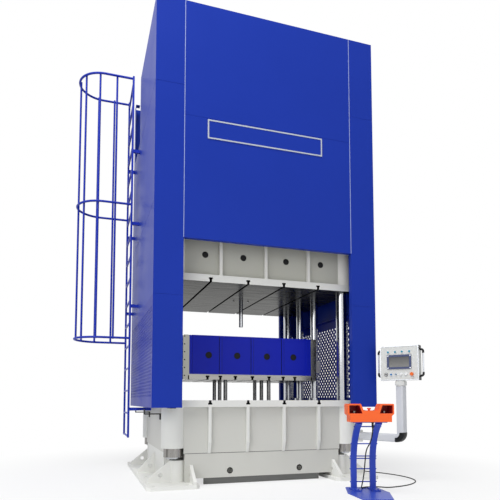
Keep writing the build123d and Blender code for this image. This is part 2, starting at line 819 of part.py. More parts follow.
# Service deck behind the parapet, with the hydraulic set on it
deck_x = cover_x - fold - cover_gap
deck_y = cover_y - fold - cover_gap
joist_w = 60.0
joist_x = 870.0
tank_half = 620.0
tank_y = (470.0, 1060.0)
tank_h = 560.0
tank_wall = 8.0
tank_corner_r = 25.0
lid_over = 15.0
lid_t = 12.0
breather_in = 120.0
breather_r = 35.0
breather_h = 70.0
gauge_w = 30.0
gauge_t = 12.0
gauge_low = 120.0
gauge_h = 300.0


def service_deck():
    floor = block(-deck_x, deck_x, -deck_y, deck_y, deck_top - deck_t, deck_top)
    joists = [block(x - joist_w / 2, x + joist_w / 2, -wall_y, wall_y, crown_top, deck_top - deck_t)
              for x in (-joist_x, 0.0, joist_x)]
    return floor.fuse(*joists)


def oil_tank():
    y0, y1 = tank_y
    top = deck_top + tank_h
    body = block(-tank_half, tank_half, y0, y1, deck_top, top)
    body = fillet(body.edges().filter_by(Axis.Z), tank_corner_r)
    body = body - block(-tank_half + tank_wall, tank_half - tank_wall, y0 + tank_wall, y1 - tank_wall,
                        deck_top + tank_wall, top + 1)
    lid = block(-tank_half - lid_over, tank_half + lid_over, y0 - lid_over, y1 + lid_over, top, top + lid_t)
    breather = rod(tank_half - breather_in, y1 - breather_in, top + 1, top + breather_h, breather_r)
    gauge_x = tank_half - breather_in
    gauge_z = deck_top + gauge_low
    gauge = block(gauge_x, gauge_x + gauge_w, y0 - gauge_t, y0 + 1, gauge_z, gauge_z + gauge_h)
    return body.fuse(lid, breather, gauge)


# Motor, bell housing and pump in line along X
motor_r = 150.0
motor_len = 420.0
motor_up = 200.0
fin_count = 12
fin_len = 360.0
fin_t = 6.0
fin_h = 15.0
terminal_w = 140.0
terminal_h = 75.0
motor_foot_w = 70.0
motor_foot_in = 60.0
motor_foot_h = 70.0
bell_r = 105.0
bell_len = 100.0
pump_r = 80.0
pump_len = 200.0
pump_x = -1190.0
pump_y = -760.0
motor_z = deck_top + motor_up
pump_end = pump_x + motor_len + bell_len + pump_len


def pump_motor():
    x0 = pump_x
    x1 = x0 + motor_len
    mid = (x0 + x1) / 2
    frame = rod_x_axis(pump_y, motor_z, x0, x1, motor_r)
    fin = Pos(0, 0, motor_r) * Box(fin_len, fin_t, 2 * fin_h)
    fins = [Pos(mid, pump_y, motor_z) * Rot(360 * k / fin_count, 0, 0) * fin for k in range(fin_count)]
    half = terminal_w / 2
    box = block(mid - half, mid + half, pump_y - half, pump_y + half, motor_z + motor_r * 0.9,
                motor_z + motor_r + terminal_h)
    feet = [block(x, x + motor_foot_w, pump_y - motor_r, pump_y + motor_r, deck_top, deck_top + motor_foot_h)
            for x in (x0 + motor_foot_in, x1 - motor_foot_in - motor_foot_w)]
    bell = rod_x_axis(pump_y, motor_z, x1 - 1, x1 + bell_len, bell_r)
    pump = rod_x_axis(pump_y, motor_z, x1 + bell_len - 1, pump_end, pump_r)
    return frame.fuse(*fins, box, *feet, bell, pump)


valve_half = 150.0
valve_y = (-720.0, -420.0)
valve_h = 240.0
coil_count = 4
coil_pitch = 70.0
coil_r = 24.0
coil_half = 90.0
coil_box_w = 56.0
coil_box_d = 100.0
coil_box_h = 60.0
valve_mid = sum(valve_y) / 2


def valve_block():
    top = deck_top + valve_h
    body = block(-valve_half, valve_half, valve_y[0], valve_y[1], deck_top, top)
    coils = []
    for k in range(coil_count):
        x = (k - (coil_count - 1) / 2) * coil_pitch
        coil_z = top + coil_box_h / 2
        coils.append(rod_y_axis(x, coil_z, valve_mid - coil_half, valve_mid + coil_half, coil_r))
        coils.append(block(x - coil_box_w / 2, x + coil_box_w / 2, valve_mid - coil_box_d / 2,
                           valve_mid + coil_box_d / 2, top - 1, top + coil_box_h))
    return body.fuse(*coils)


# Pipes from the valve block to the cylinder caps, through the deck
pipe_r = 22.0
pipe_bend = 80.0
pipe_clear = 4.0
pipe_up = 120.0
suction_out = 170.0


def pipe(points):
    line = FilletPolyline(*points, radius=pipe_bend)
    start = Plane(origin=line @ 0, z_dir=line % 0)
    return sweep(start * Circle(pipe_r), path=line)


def cylinder_pipe(s):
    z = deck_top + pipe_up
    return pipe([(s * valve_half, valve_mid, z), (s * cylinder_x, valve_mid, z), (s * cylinder_x, 0, z),
                 (s * cylinder_x, 0, cap_top)])


suction_x = pump_end + suction_out
suction_pipe = pipe([(pump_end, pump_y, motor_z), (suction_x, pump_y, motor_z),
                     (suction_x, tank_y[0], motor_z)])
pipe_hole = rod(cylinder_x, 0, deck_top - deck_t - 1, deck_top + 1, pipe_r + pipe_clear)
save("service_deck", service_deck() - both_sides(pipe_hole))
save("oil_tank", oil_tank())
save("pump_motor", pump_motor())
save("valve_block", valve_block())
save("pressure_pipes", group([cylinder_pipe(-1), cylinder_pipe(1), suction_pipe]))

# Ladder: stiles, rungs between them, and the brackets that hold it
rung_top_gap = 40.0
ladder_bracket_w = 40.0
ladder_bracket_zs = (2180.0, 3300.0, 4300.0)
low_bracket_z = 815.0
rung_count = int((cover_high - rung_top_gap - rung_first) // rung_pitch) + 1
stile_in = -ladder_x + stile_t / 2


def ladder_bracket(y, z, x1):
    half = ladder_bracket_w / 2
    return block(stile_in, x1, y - half, y + half, z - half, z + half)


def ladder():
    ends = (ladder_front, ladder_back)
    pieces = [block(stile_in - stile_t, stile_in, y - stile_w / 2, y + stile_w / 2, stile_low, cover_high)
              for y in ends]
    pieces += [rod_y_axis(-ladder_x, rung_first + k * rung_pitch, ladder_front + stile_w / 2,
                          ladder_back - stile_w / 2, rung_d / 2) for k in range(-1, rung_count)]
    pieces += [ladder_bracket(y, z, -cover_x) for y in ends for z in ladder_bracket_zs]
    pieces.append(ladder_bracket(ladder_front, low_bracket_z, -wall_x))
    return group(pieces)


# Safety cage: three bent tube hoops welded to the stiles, and bars seated in them
cage_mid = (ladder_front + ladder_back) / 2
cage_r = (ladder_back - ladder_front) / 2
cage_legs = hoop_reach - cage_r
leg_end = ladder_x + stile_t / 2


def hoop(z):
    front = Line((-leg_end, cage_mid - cage_r, z), (-cage_legs, cage_mid - cage_r, z))
    bow = ThreePointArc((-cage_legs, cage_mid - cage_r, z), (-hoop_reach, cage_mid, z),
                        (-cage_legs, cage_mid + cage_r, z))
    back = Line((-cage_legs, cage_mid + cage_r, z), (-leg_end, cage_mid + cage_r, z))
    path = Wire([front, bow, back])
    start = Plane(origin=path @ 0, z_dir=path % 0)
    return sweep(start * Circle(hoop_r), path=path)


# Where a bar stands, by its way along the hoop from the middle of the bow
def bar_spot(way):
    r = cage_r - cage_bar_set
    turn = way / cage_r
    if abs(turn) <= math.pi / 2:
        return (-cage_legs - r * math.cos(turn), cage_mid + r * math.sin(turn))
    side = math.copysign(1, way)
    return (-cage_legs + abs(way) - cage_r * math.pi / 2, cage_mid + side * r)


def cage_bars():
    low = hoop_levels[0] - hoop_r
    high = hoop_levels[-1] + hoop_r
    spots = [bar_spot(k * cage_bar_pitch) for k in range(-3, 4)]
    return [rod(x, y, low, high, cage_bar_r) for x, y in spots]


bars = cage_bars()
hoops = [hoop(z) - bars for z in hoop_levels]
save("ladder", ladder())
save("safety_cage", group(hoops + bars))

# Bracket of the panel arm on the bed corner, with the pivot pin
ear_t = 25.0
ear_gap = 0.3
pin_r = 15.0
pin_gap = 0.06
knuckle_r = 45.0
saddle_x = column_x + boss_r - 25
saddle_half = 55.0
saddle_high = 660.0
arm_under = arm_level - arm_size / 2
arm_over = arm_level + arm_size / 2


def arm_ear(z0, z1):
    x, y = arm_pivot
    lug = rod(x, y, z0, z1, knuckle_r)
    return lug + block(saddle_x, x, y - knuckle_r, y + knuckle_r, z0, z1)


def arm_bracket():
    x, y = arm_pivot
    low = arm_under - ear_gap - ear_t
    saddle = block(saddle_x, column_x + boss_r + 12, y - saddle_half, y + saddle_half, low, saddle_high)
    pin = rod(x, y, low, arm_over + ear_gap + ear_t + 12, pin_r)
    over = arm_over + ear_gap
    body = saddle.fuse(arm_ear(low, arm_under - ear_gap), arm_ear(over, over + ear_t), pin)
    return body - rod(column_x, -column_y, low - 1, saddle_high + 1, boss_r)


# Swing arm: one bent square tube with a knuckle, drawn along X and turned into place
arm_run = math.hypot(post_at[0] - arm_pivot[0], post_at[1] - arm_pivot[1])
arm_angle = math.degrees(math.atan2(post_at[1] - arm_pivot[1], post_at[0] - arm_pivot[0]))
elbow_r = 60.0
tube_edge = 18.0
spigot_r = 25.0
spigot_gap = 0.05
spigot_len = 62.0
socket_t = 70.0


def bent_tube(x0, z1, side, edge):
    corner = ((arm_run, 0, arm_level), elbow_r)
    path = FilletPolyline((x0, 0, arm_level), corner[0], (arm_run, 0, z1), radius=corner[1])
    start = Plane(origin=path @ 0, z_dir=path % 0)
    return sweep(start * RectangleRounded(side, side, edge), path=path)


def swing_arm():
    tube = bent_tube(knuckle_r - 10, post_top, arm_size, tube_edge)
    hollow = bent_tube(knuckle_r + 20, post_top - socket_t, arm_size - 2 * arm_wall, tube_edge - arm_wall)
    body = tube.fuse(rod(0, 0, arm_under, arm_over, knuckle_r)) - hollow
    body = body - rod(0, 0, arm_under - 1, arm_over + 1, pin_r + pin_gap)
    body = body - rod(arm_run, 0, post_top - socket_t - 1, post_top + 1, spigot_r + spigot_gap)
    return Pos(arm_pivot[0], arm_pivot[1], 0) * Rot(0, 0, arm_angle) * body


save("arm_bracket", arm_bracket())
save("swing_arm", swing_arm())

# Control box on the post: x to its right, y into the box, z up from its middle
box_wall = 3.0
box_edge = 14.0
box_mid = box_low + box_h / 2
face_y = -box_d / 2
neck_r = 52.0
neck_gap = 0.3
screen_w = 280.0
screen_h = 165.0
screen_up = 12.0
screen_rim = 12.0
window_gap = 1.0
button_r = 12.0
button_gap = 0.3
bezel_r = 16.0
bezel_t = 3.0
button_out = 8.0             # cap in front of the bezel
flange_r = 16.0
row_top = (128.0, (-126.0, -44.0, 35.0, 119.0))
row_low = (-130.0, (-151.0, -93.0, -38.0, 20.0, 78.0, 145.0))
handle_out = 38.0
handle_half = 150.0
handle_r = 9.0
handle_bend = 24.0


def on_post(shape):
    return Pos(post_at[0], post_at[1], box_mid) * Rot(0, 0, box_turn) * shape


def panel_box():
    outer = Box(box_w, box_d, box_h)
    outer = fillet(outer.edges().filter_by(Axis.Y), box_edge)
    outer = fillet(outer.edges().group_by(Axis.Y)[0], 5)
    body = outer - Box(box_w - 2 * box_wall, box_d - 2 * box_wall, box_h - 2 * box_wall)
    spots = [(x, row[0]) for row in (row_top, row_low) for x in row[1]]
    bezels = [rod_y_axis(x, z, face_y - bezel_t, face_y + 1, bezel_r) for x, z in spots]
    bores = [rod_y_axis(x, z, face_y - bezel_t - 1, face_y + box_wall + 1, button_r + button_gap)
             for x, z in spots]
    window = block(-screen_w / 2 + screen_rim, screen_w / 2 - screen_rim, face_y - 1, face_y + box_wall + 1,
                   screen_up - screen_h / 2 + screen_rim, screen_up + screen_h / 2 - screen_rim)
    neck = rod(0, 0, post_top + neck_gap - box_mid, box_low - box_mid + 1, neck_r)
    spigot = rod(0, 0, post_top - spigot_len - box_mid, box_low - box_mid + 1, spigot_r)
    return on_post(body.fuse(neck, spigot, *bezels) - bores - window)


def panel_screen():
    half_w = screen_w / 2
    half_h = screen_h / 2
    front = block(-half_w, half_w, face_y - 4, face_y, screen_up - half_h, screen_up + half_h)
    front = fillet(front.edges().filter_by(Axis.Y), 6)
    inset = screen_rim + window_gap
    back = block(-half_w + inset, half_w - inset, face_y - 1, face_y + 34,
                 screen_up - half_h + inset, screen_up + half_h - inset)
    return on_post(front + back)


def panel_handle(s):
    x0 = s * box_w / 2
    x1 = s * (box_w / 2 + handle_out)
    path = FilletPolyline((x0, 0, -handle_half), (x1, 0, -handle_half), (x1, 0, handle_half),
                          (x0, 0, handle_half), radius=handle_bend)
    start = Plane(origin=path @ 0, z_dir=path % 0)
    return on_post(sweep(start * Circle(handle_r), path=path))


def push_button(x, z):
    cap = rod_y_axis(x, z, face_y - bezel_t - button_out, face_y + box_wall + button_gap + 1, button_r)
    cap = fillet(cap.edges().group_by(Axis.Y)[0], 2)
    back = face_y + box_wall + button_gap
    return on_post(cap + rod_y_axis(x, z, back, back + 3, flange_r))


def stop_button(x, z):
    plunger = rod_y_axis(x, z, face_y - bezel_t - 8, face_y + box_wall + button_gap + 1, button_r)
    head = rod_y_axis(x, z, face_y - bezel_t - 24, face_y - bezel_t - 7, 20)
    head = fillet(head.edges().group_by(Axis.Y)[0], 7)
    back = face_y + box_wall + button_gap
    return on_post(plunger.fuse(head, rod_y_axis(x, z, back, back + 3, flange_r)))


def key_switch(x, z):
    barrel = rod_y_axis(x, z, face_y - bezel_t - 6, face_y + box_wall + button_gap + 1, button_r)
    key = block(x - 1.5, x + 1.5, face_y - bezel_t - 32, face_y - bezel_t - 5, z - 10, z + 10)
    back = face_y + box_wall + button_gap
    return on_post(barrel.fuse(key, rod_y_axis(x, z, back, back + 3, flange_r)))


save("panel_box", panel_box())
save("panel_screen", panel_screen())
save("panel_handles", group([panel_handle(-1), panel_handle(1)]))
for k in range(4):
    save("button_top_" + str(k + 1), push_button(row_top[1][k], row_top[0]))
save("key_switch", key_switch(row_low[1][0], row_low[0]))
for k, node in ((1, "button_blue"), (2, "button_grey"), (3, "button_white_left"), (4, "button_white_right")):
    save(node, push_button(row_low[1][k], row_low[0]))
save("panel_stop", stop_button(row_low[1][5], row_low[0]))

# Console stand: base plate, two bent legs, tie rods and a head plate
base_outline = ((-160.0, 124.0), (160.0, 124.0), (212.0, -210.0), (140.0, -576.0), (-140.0, -576.0),
                (-212.0, -210.0))
leg_bend_low = 260.0
tie_levels = (86.0, 218.0, 325.0, 350.0, 481.0, 665.0)
tie_r = 6.0
head_plate_t = 8.0
leg_foot_t = 12.0

# The bend is one arc from vertical, found from its rise and its reach
leg_top = stand_top - head_plate_t
leg_rise = leg_top - leg_bend_low
leg_angle = 2 * math.atan(stand_lean / leg_rise)
leg_bend_r = leg_rise / math.sin(leg_angle)


def leg_reach(z):
    if z <= leg_bend_low:
        return 0.0
    return leg_bend_r * (1 - math.cos(math.asin((z - leg_bend_low) / leg_bend_r)))


def on_stand(shape):
    return Pos(stand_at[0], stand_at[1], 0) * Rot(0, 0, stand_turn) * shape


def console_leg(x):
    centre_y = -leg_bend_r
    sides = []
    for r in (leg_bend_r - leg_t / 2, leg_bend_r + leg_t / 2):
        y0 = centre_y + r
        low = (x, y0, base_t - 1)
        bend = (x, y0, leg_bend_low)
        half = leg_angle / 2
        mid = (x, centre_y + r * math.cos(half), leg_bend_low + r * math.sin(half))
        tip = (x, centre_y + r * math.cos(leg_angle), leg_bend_low + r * math.sin(leg_angle))
        sides.append((Line(low, bend), ThreePointArc(bend, mid, tip)))
    closers = [Line(sides[0][0] @ 0, sides[1][0] @ 0), Line(sides[0][1] @ 1, sides[1][1] @ 1)]
    face = make_face([*sides[0], *sides[1], *closers])
    bar = extrude(face, amount=leg_w / 2, dir=(1, 0, 0), both=True)
    return bar - block(x - leg_w, x + leg_w, -2 * leg_bend_r, leg_bend_r, leg_top + 1, leg_top + 200)


def console_stand():
    base = prism_xy(base_outline, 0, base_t)
    legs = [console_leg(s * leg_pitch / 2) for s in (-1, 1)]
    feet = [block(s * leg_pitch / 2 - 42, s * leg_pitch / 2 + 42, -150, 45, base_t - 1, base_t + leg_foot_t)
            for s in (-1, 1)]
    bolts = [rod(s * leg_pitch / 2 + d, -115, base_t + leg_foot_t - 1, base_t + leg_foot_t + 9, 8)
             for s in (-1, 1) for d in (-20, 20)]
    ties = [rod_x_axis(-leg_reach(z), z, -leg_pitch / 2 - 40, leg_pitch / 2 + 40, tie_r) for z in tie_levels]
    head = block(-170, 170, -stand_lean - 48, -stand_lean + 75, leg_top, stand_top)
    return on_stand(base.fuse(*legs, *feet, *bolts, *ties, head))


save("console_stand", console_stand())

# Yoke of the console: a hollow body with two hooded hand pockets
yoke_low_w = 414.0
yoke_flare = (774.0, 797.0)
yoke_mid = 828.0
hood_in = 72.0               # foot of a hood's inner slope
hood_crest = 100.0
hood_wall = 14.0
pocket_floor = 800.0
yoke_wall = 5.0
palm_x = 150.0
palm_r = 20.0
stem_r = 11.0
stem_gap = 0.3


def yoke_half():
    return [(0, stand_top), (yoke_low_w / 2, stand_top), (yoke_low_w / 2, yoke_flare[0]),
            (yoke_w / 2, yoke_flare[1]), (yoke_w / 2, yoke_top), (hood_crest, yoke_top), (hood_in, yoke_mid),
            (0, yoke_mid)]


def in_yoke(shape):
    return on_stand(Pos(0, -stand_lean, 0) * shape)


def console_yoke():
    half = yoke_half()
    outline = half + [(-x, z) for x, z in reversed(half[1:-1])]
    body = prism_xz(outline, -yoke_d / 2, yoke_d / 2)
    body = fillet(body.edges().filter_by(Axis.Y).group_by(Axis.Z)[-1], 10)
    crest = hood_crest + hood_wall
    pocket = [(yoke_w / 2 - hood_wall, pocket_floor), (yoke_w / 2 - hood_wall, yoke_top - hood_wall),
              (crest, yoke_top - hood_wall), (hood_in + hood_wall, pocket_floor)]
    pockets = both_sides(prism_xz(pocket, -yoke_d / 2 - 1, yoke_d / 2 - hood_wall))
    inner_y = yoke_d / 2 - yoke_wall
    cavity = block(-yoke_low_w / 2 + yoke_wall, yoke_low_w / 2 - yoke_wall, -inner_y, inner_y,
                   stand_top + yoke_wall, pocket_floor - yoke_wall)
    middle = block(-hood_in, hood_in, -inner_y, inner_y, pocket_floor - yoke_wall - 1, yoke_mid - yoke_wall)
    bores = [rod(x, 0, seat - yoke_wall - 1, seat + 1, stem_r + stem_gap)
             for x, seat in ((-palm_x, pocket_floor), (palm_x, pocket_floor), (0, yoke_mid))]
    return in_yoke(body - pockets - cavity - middle - bores)


def palm_button(x, seat):
    stem = rod(x, 0, seat - yoke_wall - stem_gap - 1, seat + 13, stem_r)
    head = rod(x, 0, seat + 12, seat + 26, palm_r)
    head = fillet(head.edges().group_by(Axis.Z)[-1], 8)
    low = seat - yoke_wall - stem_gap
    return in_yoke(stem.fuse(head, rod(x, 0, low - 3, low, stem_r + 5)))


save("console_yoke", console_yoke())
save("palm_left", palm_button(-palm_x, pocket_floor))
save("palm_right", palm_button(palm_x, pocket_floor))
save("console_stop", palm_button(0, yoke_mid))

# Cable from the gland under the yoke, down the stand and over the floor to the press
cable_r = 6.0
gland_x = 16.0
gland_y = -stand_lean - 70.0
gland_len = 30.0
gland_r = 14.0
rest = cable_r + 0.5         # height of the cable's axis over the floor
over_base = base_t + cable_r + 1
wall_gland = (-180.0, 430.0) # y and z on the bed's side wall


def stand_point(x, y, z):
    a = math.radians(stand_turn)
    along = x * math.cos(a) - y * math.sin(a)
    return (stand_at[0] + along, stand_at[1] + x * math.sin(a) + y * math.cos(a), z)


cable_points = [stand_point(gland_x, gland_y, stand_top - gland_len), stand_point(gland_x, gland_y, 600),
                stand_point(13, -240, 500), stand_point(10, -90, 420), stand_point(8, -52, 290),
                stand_point(-6, -56, 165), stand_point(-25, -58, 75), stand_point(-26, -10, over_base),
                stand_point(20, 72, over_base), stand_point(110, 86, over_base),
                stand_point(188, 82, over_base), (1100, -1742, rest), (1225, -1725, rest),
                (1380, -1680, rest), (1530, -1590, rest), (1655, -1462, rest), (1722, -1300, rest),
                (1738, -1125, rest), (1715, -955, rest), (1660, -795, rest), (1584, -640, rest),
                (1494, -490, rest),
                (1422, -352, rest), (1390, -262, 52), (1318, -200, 60), (1288, -184, 130),
                (1283, -181, 250), (wall_x + 151, wall_gland[0], wall_gland[1] - 51),
                (wall_x + 100, wall_gland[0], wall_gland[1]),
                (wall_x + gland_len, wall_gland[0], wall_gland[1])]


# Each bend takes 0.45 of the shorter run beside it
def bend_radii(points):
    radii = []
    for before, here, after in zip(points, points[1:], points[2:]):
        run_in = Vector(*here) - Vector(*before)
        run_out = Vector(*after) - Vector(*here)
        turn = math.radians(run_in.get_angle(run_out))
        radii.append(0.45 * min(run_in.length, run_out.length) / math.tan(turn / 2))
    return radii


def console_cable():
    radii = bend_radii(cable_points)
    print("cable radii", [round(r) for r in radii])
    path = FilletPolyline(*cable_points, radius=radii)
    start = Plane(origin=path @ 0, z_dir=path % 0)
    tube = sweep(start * Circle(cable_r), path=path)
    plain_volume = math.pi * cable_r**2 * path.length
    print("cable length", round(path.length), "volume ratio", tube.volume / plain_volume)
    return tube


def gland():
    nut = extrude(RegularPolygon(gland_r, 6), 9)
    return nut + rod(0, 0, 8, gland_len, gland_r - 3)


under_yoke = on_stand(Pos(gland_x, gland_y, stand_top) * Rot(180, 0, 0) * gland())
on_wall = Pos(wall_x, wall_gland[0], wall_gland[1]) * Rot(0, 90, 0) * gland()
save("cable_glands", group([under_yoke, on_wall]))
save("console_cable", console_cable())
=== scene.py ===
# %% [markdown]
# # A hydraulic press in blue sheet metal
#
# The press is a tall welded frame on four steel columns, clad in blue sheet. The solid model already
# holds every rigid piece in its place, so this lesson dresses it: paints, steels and chrome first,
# then the thin things that a solid model leaves out, such as perforated sheet, linings, caps,
# bezels, screws and the cable.

# %% Load the frame
import json
import math

import bpy
import numpy as np
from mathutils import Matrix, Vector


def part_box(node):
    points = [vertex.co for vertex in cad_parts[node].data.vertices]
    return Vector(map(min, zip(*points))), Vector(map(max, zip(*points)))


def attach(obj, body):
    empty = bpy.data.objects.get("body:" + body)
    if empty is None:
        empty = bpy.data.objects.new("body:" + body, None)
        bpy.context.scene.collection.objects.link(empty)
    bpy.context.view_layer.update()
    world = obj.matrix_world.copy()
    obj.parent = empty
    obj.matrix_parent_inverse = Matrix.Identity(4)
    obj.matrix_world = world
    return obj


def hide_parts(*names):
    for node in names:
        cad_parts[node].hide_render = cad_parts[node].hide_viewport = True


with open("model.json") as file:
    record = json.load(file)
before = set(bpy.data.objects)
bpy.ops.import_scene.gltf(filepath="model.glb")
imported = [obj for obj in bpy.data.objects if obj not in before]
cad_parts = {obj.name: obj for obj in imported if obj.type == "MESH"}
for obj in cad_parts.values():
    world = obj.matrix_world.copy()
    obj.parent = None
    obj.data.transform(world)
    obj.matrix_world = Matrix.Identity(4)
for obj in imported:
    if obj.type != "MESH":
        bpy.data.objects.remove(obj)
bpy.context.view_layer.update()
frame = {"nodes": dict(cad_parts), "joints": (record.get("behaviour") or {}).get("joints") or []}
nodes = frame["nodes"]
joints = {joint["name"]: joint for joint in frame["joints"]}

# %% [markdown]
# ## The camera
#
# The photographer stood to the left of the press, with the eye as high as the bed, and the verticals
# lean only a little. A low camera that keeps a tall press in view shifts its lens upwards, so most of
# the framing comes from the shift and only a small part from a tilt.

# %% Place the camera
eye_at = (-2.0106, -6.5446, 0.930)
look_right = math.radians(18.17)
look_up = math.radians(3.92)
focal_pixels = 514.6
image_pixels = 500.0
sensor_mm = 36.0
axis_pixel = (250.6, 365.0)
view_depth = 200.0

camera_data = bpy.data.cameras.new("photo_camera")
camera_data.sensor_width = sensor_mm
camera_data.lens = focal_pixels / image_pixels * sensor_mm
camera_data.shift_x = (image_pixels / 2 - axis_pixel[0]) / image_pixels
camera_data.shift_y = (axis_pixel[1] - image_pixels / 2) / image_pixels
camera_data.clip_end = view_depth
camera = bpy.data.objects.new("photo_camera", camera_data)
camera.location = eye_at
camera.rotation_euler = (math.pi / 2 + look_up, 0.0, -look_right)
bpy.context.scene.collection.objects.link(camera)
bpy.context.scene.camera = camera
print("lens", round(camera_data.lens, 2), "mm, shift", round(camera_data.shift_y, 3))

# %% [markdown]
# ## Adding shader nodes
#
# A material is a small graph. One helper adds a node, sets its options and joins its inputs, each
# given by its name, or by its number where a node has several of one name. Another turns a colour as
# it is seen, an sRGB hex value, into the linear numbers that a shader works in.

# %% Helpers for colours and nodes


def colour(hex_value, alpha=1.0):
    """Linear RGBA from sRGB hex: the sRGB curve, a power of 2.4 above 0.04 and a line below it."""
    channels = np.array([int(hex_value[i:i + 2], 16) for i in (1, 3, 5)]) / 255.0
    linear = np.where(channels <= 0.04045, channels / 12.92, ((channels + 0.055) / 1.055) ** 2.4)
    return (*linear.tolist(), alpha)


def add_node(tree, kind, inputs=None, **options):
    """Add one node of the shader family, set its options, and give its inputs values or links."""
    made = tree.nodes.new("ShaderNode" + kind)
    for name, value in options.items():
        setattr(made, name, value)
    for socket, value in (inputs or {}).items():
        if isinstance(value, bpy.types.NodeSocket):
            tree.links.new(value, made.inputs[socket])
        else:
            made.inputs[socket].default_value = value
    return made


def start_material(name, **sockets):
    """A material with its Principled shader set, and the Object coordinates to draw patterns on."""
    material = bpy.data.materials.new(name)
    material.use_nodes = True
    tree = material.node_tree
    shader = tree.nodes["Principled BSDF"]
    for socket, value in sockets.items():
        shader.inputs[socket.replace("_", " ")].default_value = value
    place = add_node(tree, "TexCoord").outputs["Object"]
    return material, tree, shader, place


print("blue", [round(v, 3) for v in colour("#263BA4")])

# %% [markdown]
# ## Light, floor and background
#
# Product photographs of machines are lit softly from all round, with more from above and from one
# side. A white world does that here, broad lamps stand at the left and high up, and a weak one in
# front. The floor is pale and keeps the shadow under the press, and it fades into the white
# background. That white is there only for a ray that looks at it, straight, in a mirror or through
# glass, so it adds no light to the press.

# %% World and lamps
world_light = 0.30
white = (1, 1, 1, 1)


def background_ray(tree, other_kinds):
    """1 for a ray from the camera or of the other kinds, and 0 for one that gathers light."""
    rays = add_node(tree, "LightPath").outputs
    seen = rays["Is Camera Ray"]
    for kind in other_kinds:
        seen = add_node(tree, "Math", {0: seen, 1: rays[kind]}, operation="MAXIMUM").outputs[0]
    return seen


def add_lamp(name, place, aim, size, watts):
    """A square area lamp at a place, turned to face its aim."""
    lamp_data = bpy.data.lights.new(name, "AREA")
    lamp_data.shape = "SQUARE"
    lamp_data.size = size
    lamp_data.energy = watts
    lamp = bpy.data.objects.new(name, lamp_data)
    lamp.location = place
    x, y, z = np.array(aim) - np.array(place)
    lamp.rotation_euler = (math.pi / 2 + math.atan2(z, math.hypot(x, y)), 0.0, math.atan2(-x, y))
    bpy.context.scene.collection.objects.link(lamp)


world = bpy.data.worlds.new("studio")
bpy.context.scene.world = world
world.use_nodes = True
tree = world.node_tree
tree.nodes.clear()
seen = background_ray(tree, ("Is Glossy Ray", "Is Transmission Ray"))
level = add_node(tree, "MapRange", {0: seen, 3: world_light, 4: 1.0})
sky = add_node(tree, "Background", {0: white, 1: level.outputs[0]})
add_node(tree, "OutputWorld", {0: sky.outputs[0]})
add_lamp("left_lamp", place=(-9.0, -7.0, 6.5), aim=(0.0, 0.0, 2.4), size=8.0, watts=430.0)
add_lamp("front_lamp", place=(2.5, -11.0, 3.5), aim=(0.0, 0.0, 2.2), size=7.0, watts=110.0)
add_lamp("high_lamp", place=(-3.0, -4.0, 12.0), aim=(0.0, 0.0, 1.2), size=5.0, watts=820.0)
bpy.context.scene.view_settings.view_transform = "Standard"
print("lamps made")

# %% Floor
floor_half = 60.0
fade_start = 1.8
fade_end = 4.5
white_at_press = 0.66
floor_mesh = bpy.data.meshes.new("floor")
floor_mesh.from_pydata([(-floor_half, -floor_half, 0), (floor_half, -floor_half, 0),
                        (floor_half, floor_half, 0), (-floor_half, floor_half, 0)], [], [(0, 1, 2, 3)])
floor = bpy.data.objects.new("floor", floor_mesh)
bpy.context.scene.collection.objects.link(floor)
floor_finish, tree, shader, place = start_material(
    "pale_studio_floor", Base_Color=colour("#F4F5F6"), Roughness=0.6, Specular_IOR_Level=0.2)
distance = add_node(tree, "VectorMath", {0: place}, operation="LENGTH").outputs["Value"]
fade = add_node(tree, "MapRange",
                {0: distance, 1: fade_start, 2: fade_end, 3: white_at_press, 4: 1.0},
                interpolation_type="SMOOTHSTEP")
seen = background_ray(tree, ("Is Glossy Ray",))
white_share = add_node(tree, "Math", {0: fade.outputs[0], 1: seen}, operation="MULTIPLY")
glow = add_node(tree, "Emission", {0: white, 1: 1.0})
blend = add_node(tree, "MixShader",
                 {0: white_share.outputs[0], 1: shader.outputs[0], 2: glow.outputs[0]})
tree.links.new(blend.outputs[0], tree.nodes["Material Output"].inputs["Surface"])
floor_mesh.materials.append(floor_finish)
print("floor", 2 * floor_half, "m")

# %% [markdown]
# ## Paint on steel
#
# The cladding and the frame are sprayed with two-component enamel. It dries to a slight orange-peel
# surface that blurs reflections, and large faces are never one even tone. So the paint has a soft
# cloud in its colour, the same cloud in its gloss, and a fine bump. The real peel is 1 to 2 mm
# across, too fine for this view, so it is drawn at 12 mm. A noise lies mostly between 0.3 and 0.7,
# so its gloss is stretched over that span.

# %% Sprayed enamel
noise_low = 0.3
noise_high = 0.7


def enamel(name, light, dark, roughness, specular=0.16):
    """Sprayed paint: two close colours in a soft cloud, uneven gloss and an orange-peel bump."""
    cloud_metres = 1.2
    peel_metres = 0.012
    peel_depth = 0.0004
    material, tree, shader, place = start_material(name, IOR=1.5, Specular_IOR_Level=specular)
    cloud = add_node(tree, "TexNoise",
                     {"Vector": place, "Scale": 1 / cloud_metres, "Detail": 3.0}).outputs["Fac"]
    tone = add_node(tree, "Mix", {0: cloud, 6: colour(dark), 7: colour(light)}, data_type="RGBA")
    gloss = add_node(tree, "MapRange",
                     {0: cloud, 1: noise_low, 2: noise_high, 3: roughness - 0.05, 4: roughness + 0.06})
    peel = add_node(tree, "TexNoise",
                    {"Vector": place, "Scale": 1 / peel_metres, "Detail": 2.0}).outputs["Fac"]
    bump = add_node(tree, "Bump", {"Height": peel, "Strength": 0.25, "Distance": peel_depth})
    tree.links.new(tone.outputs[2], shader.inputs["Base Color"])
    tree.links.new(gloss.outputs[0], shader.inputs["Roughness"])
    tree.links.new(bump.outputs[0], shader.inputs["Normal"])
    return material, tree, shader, place


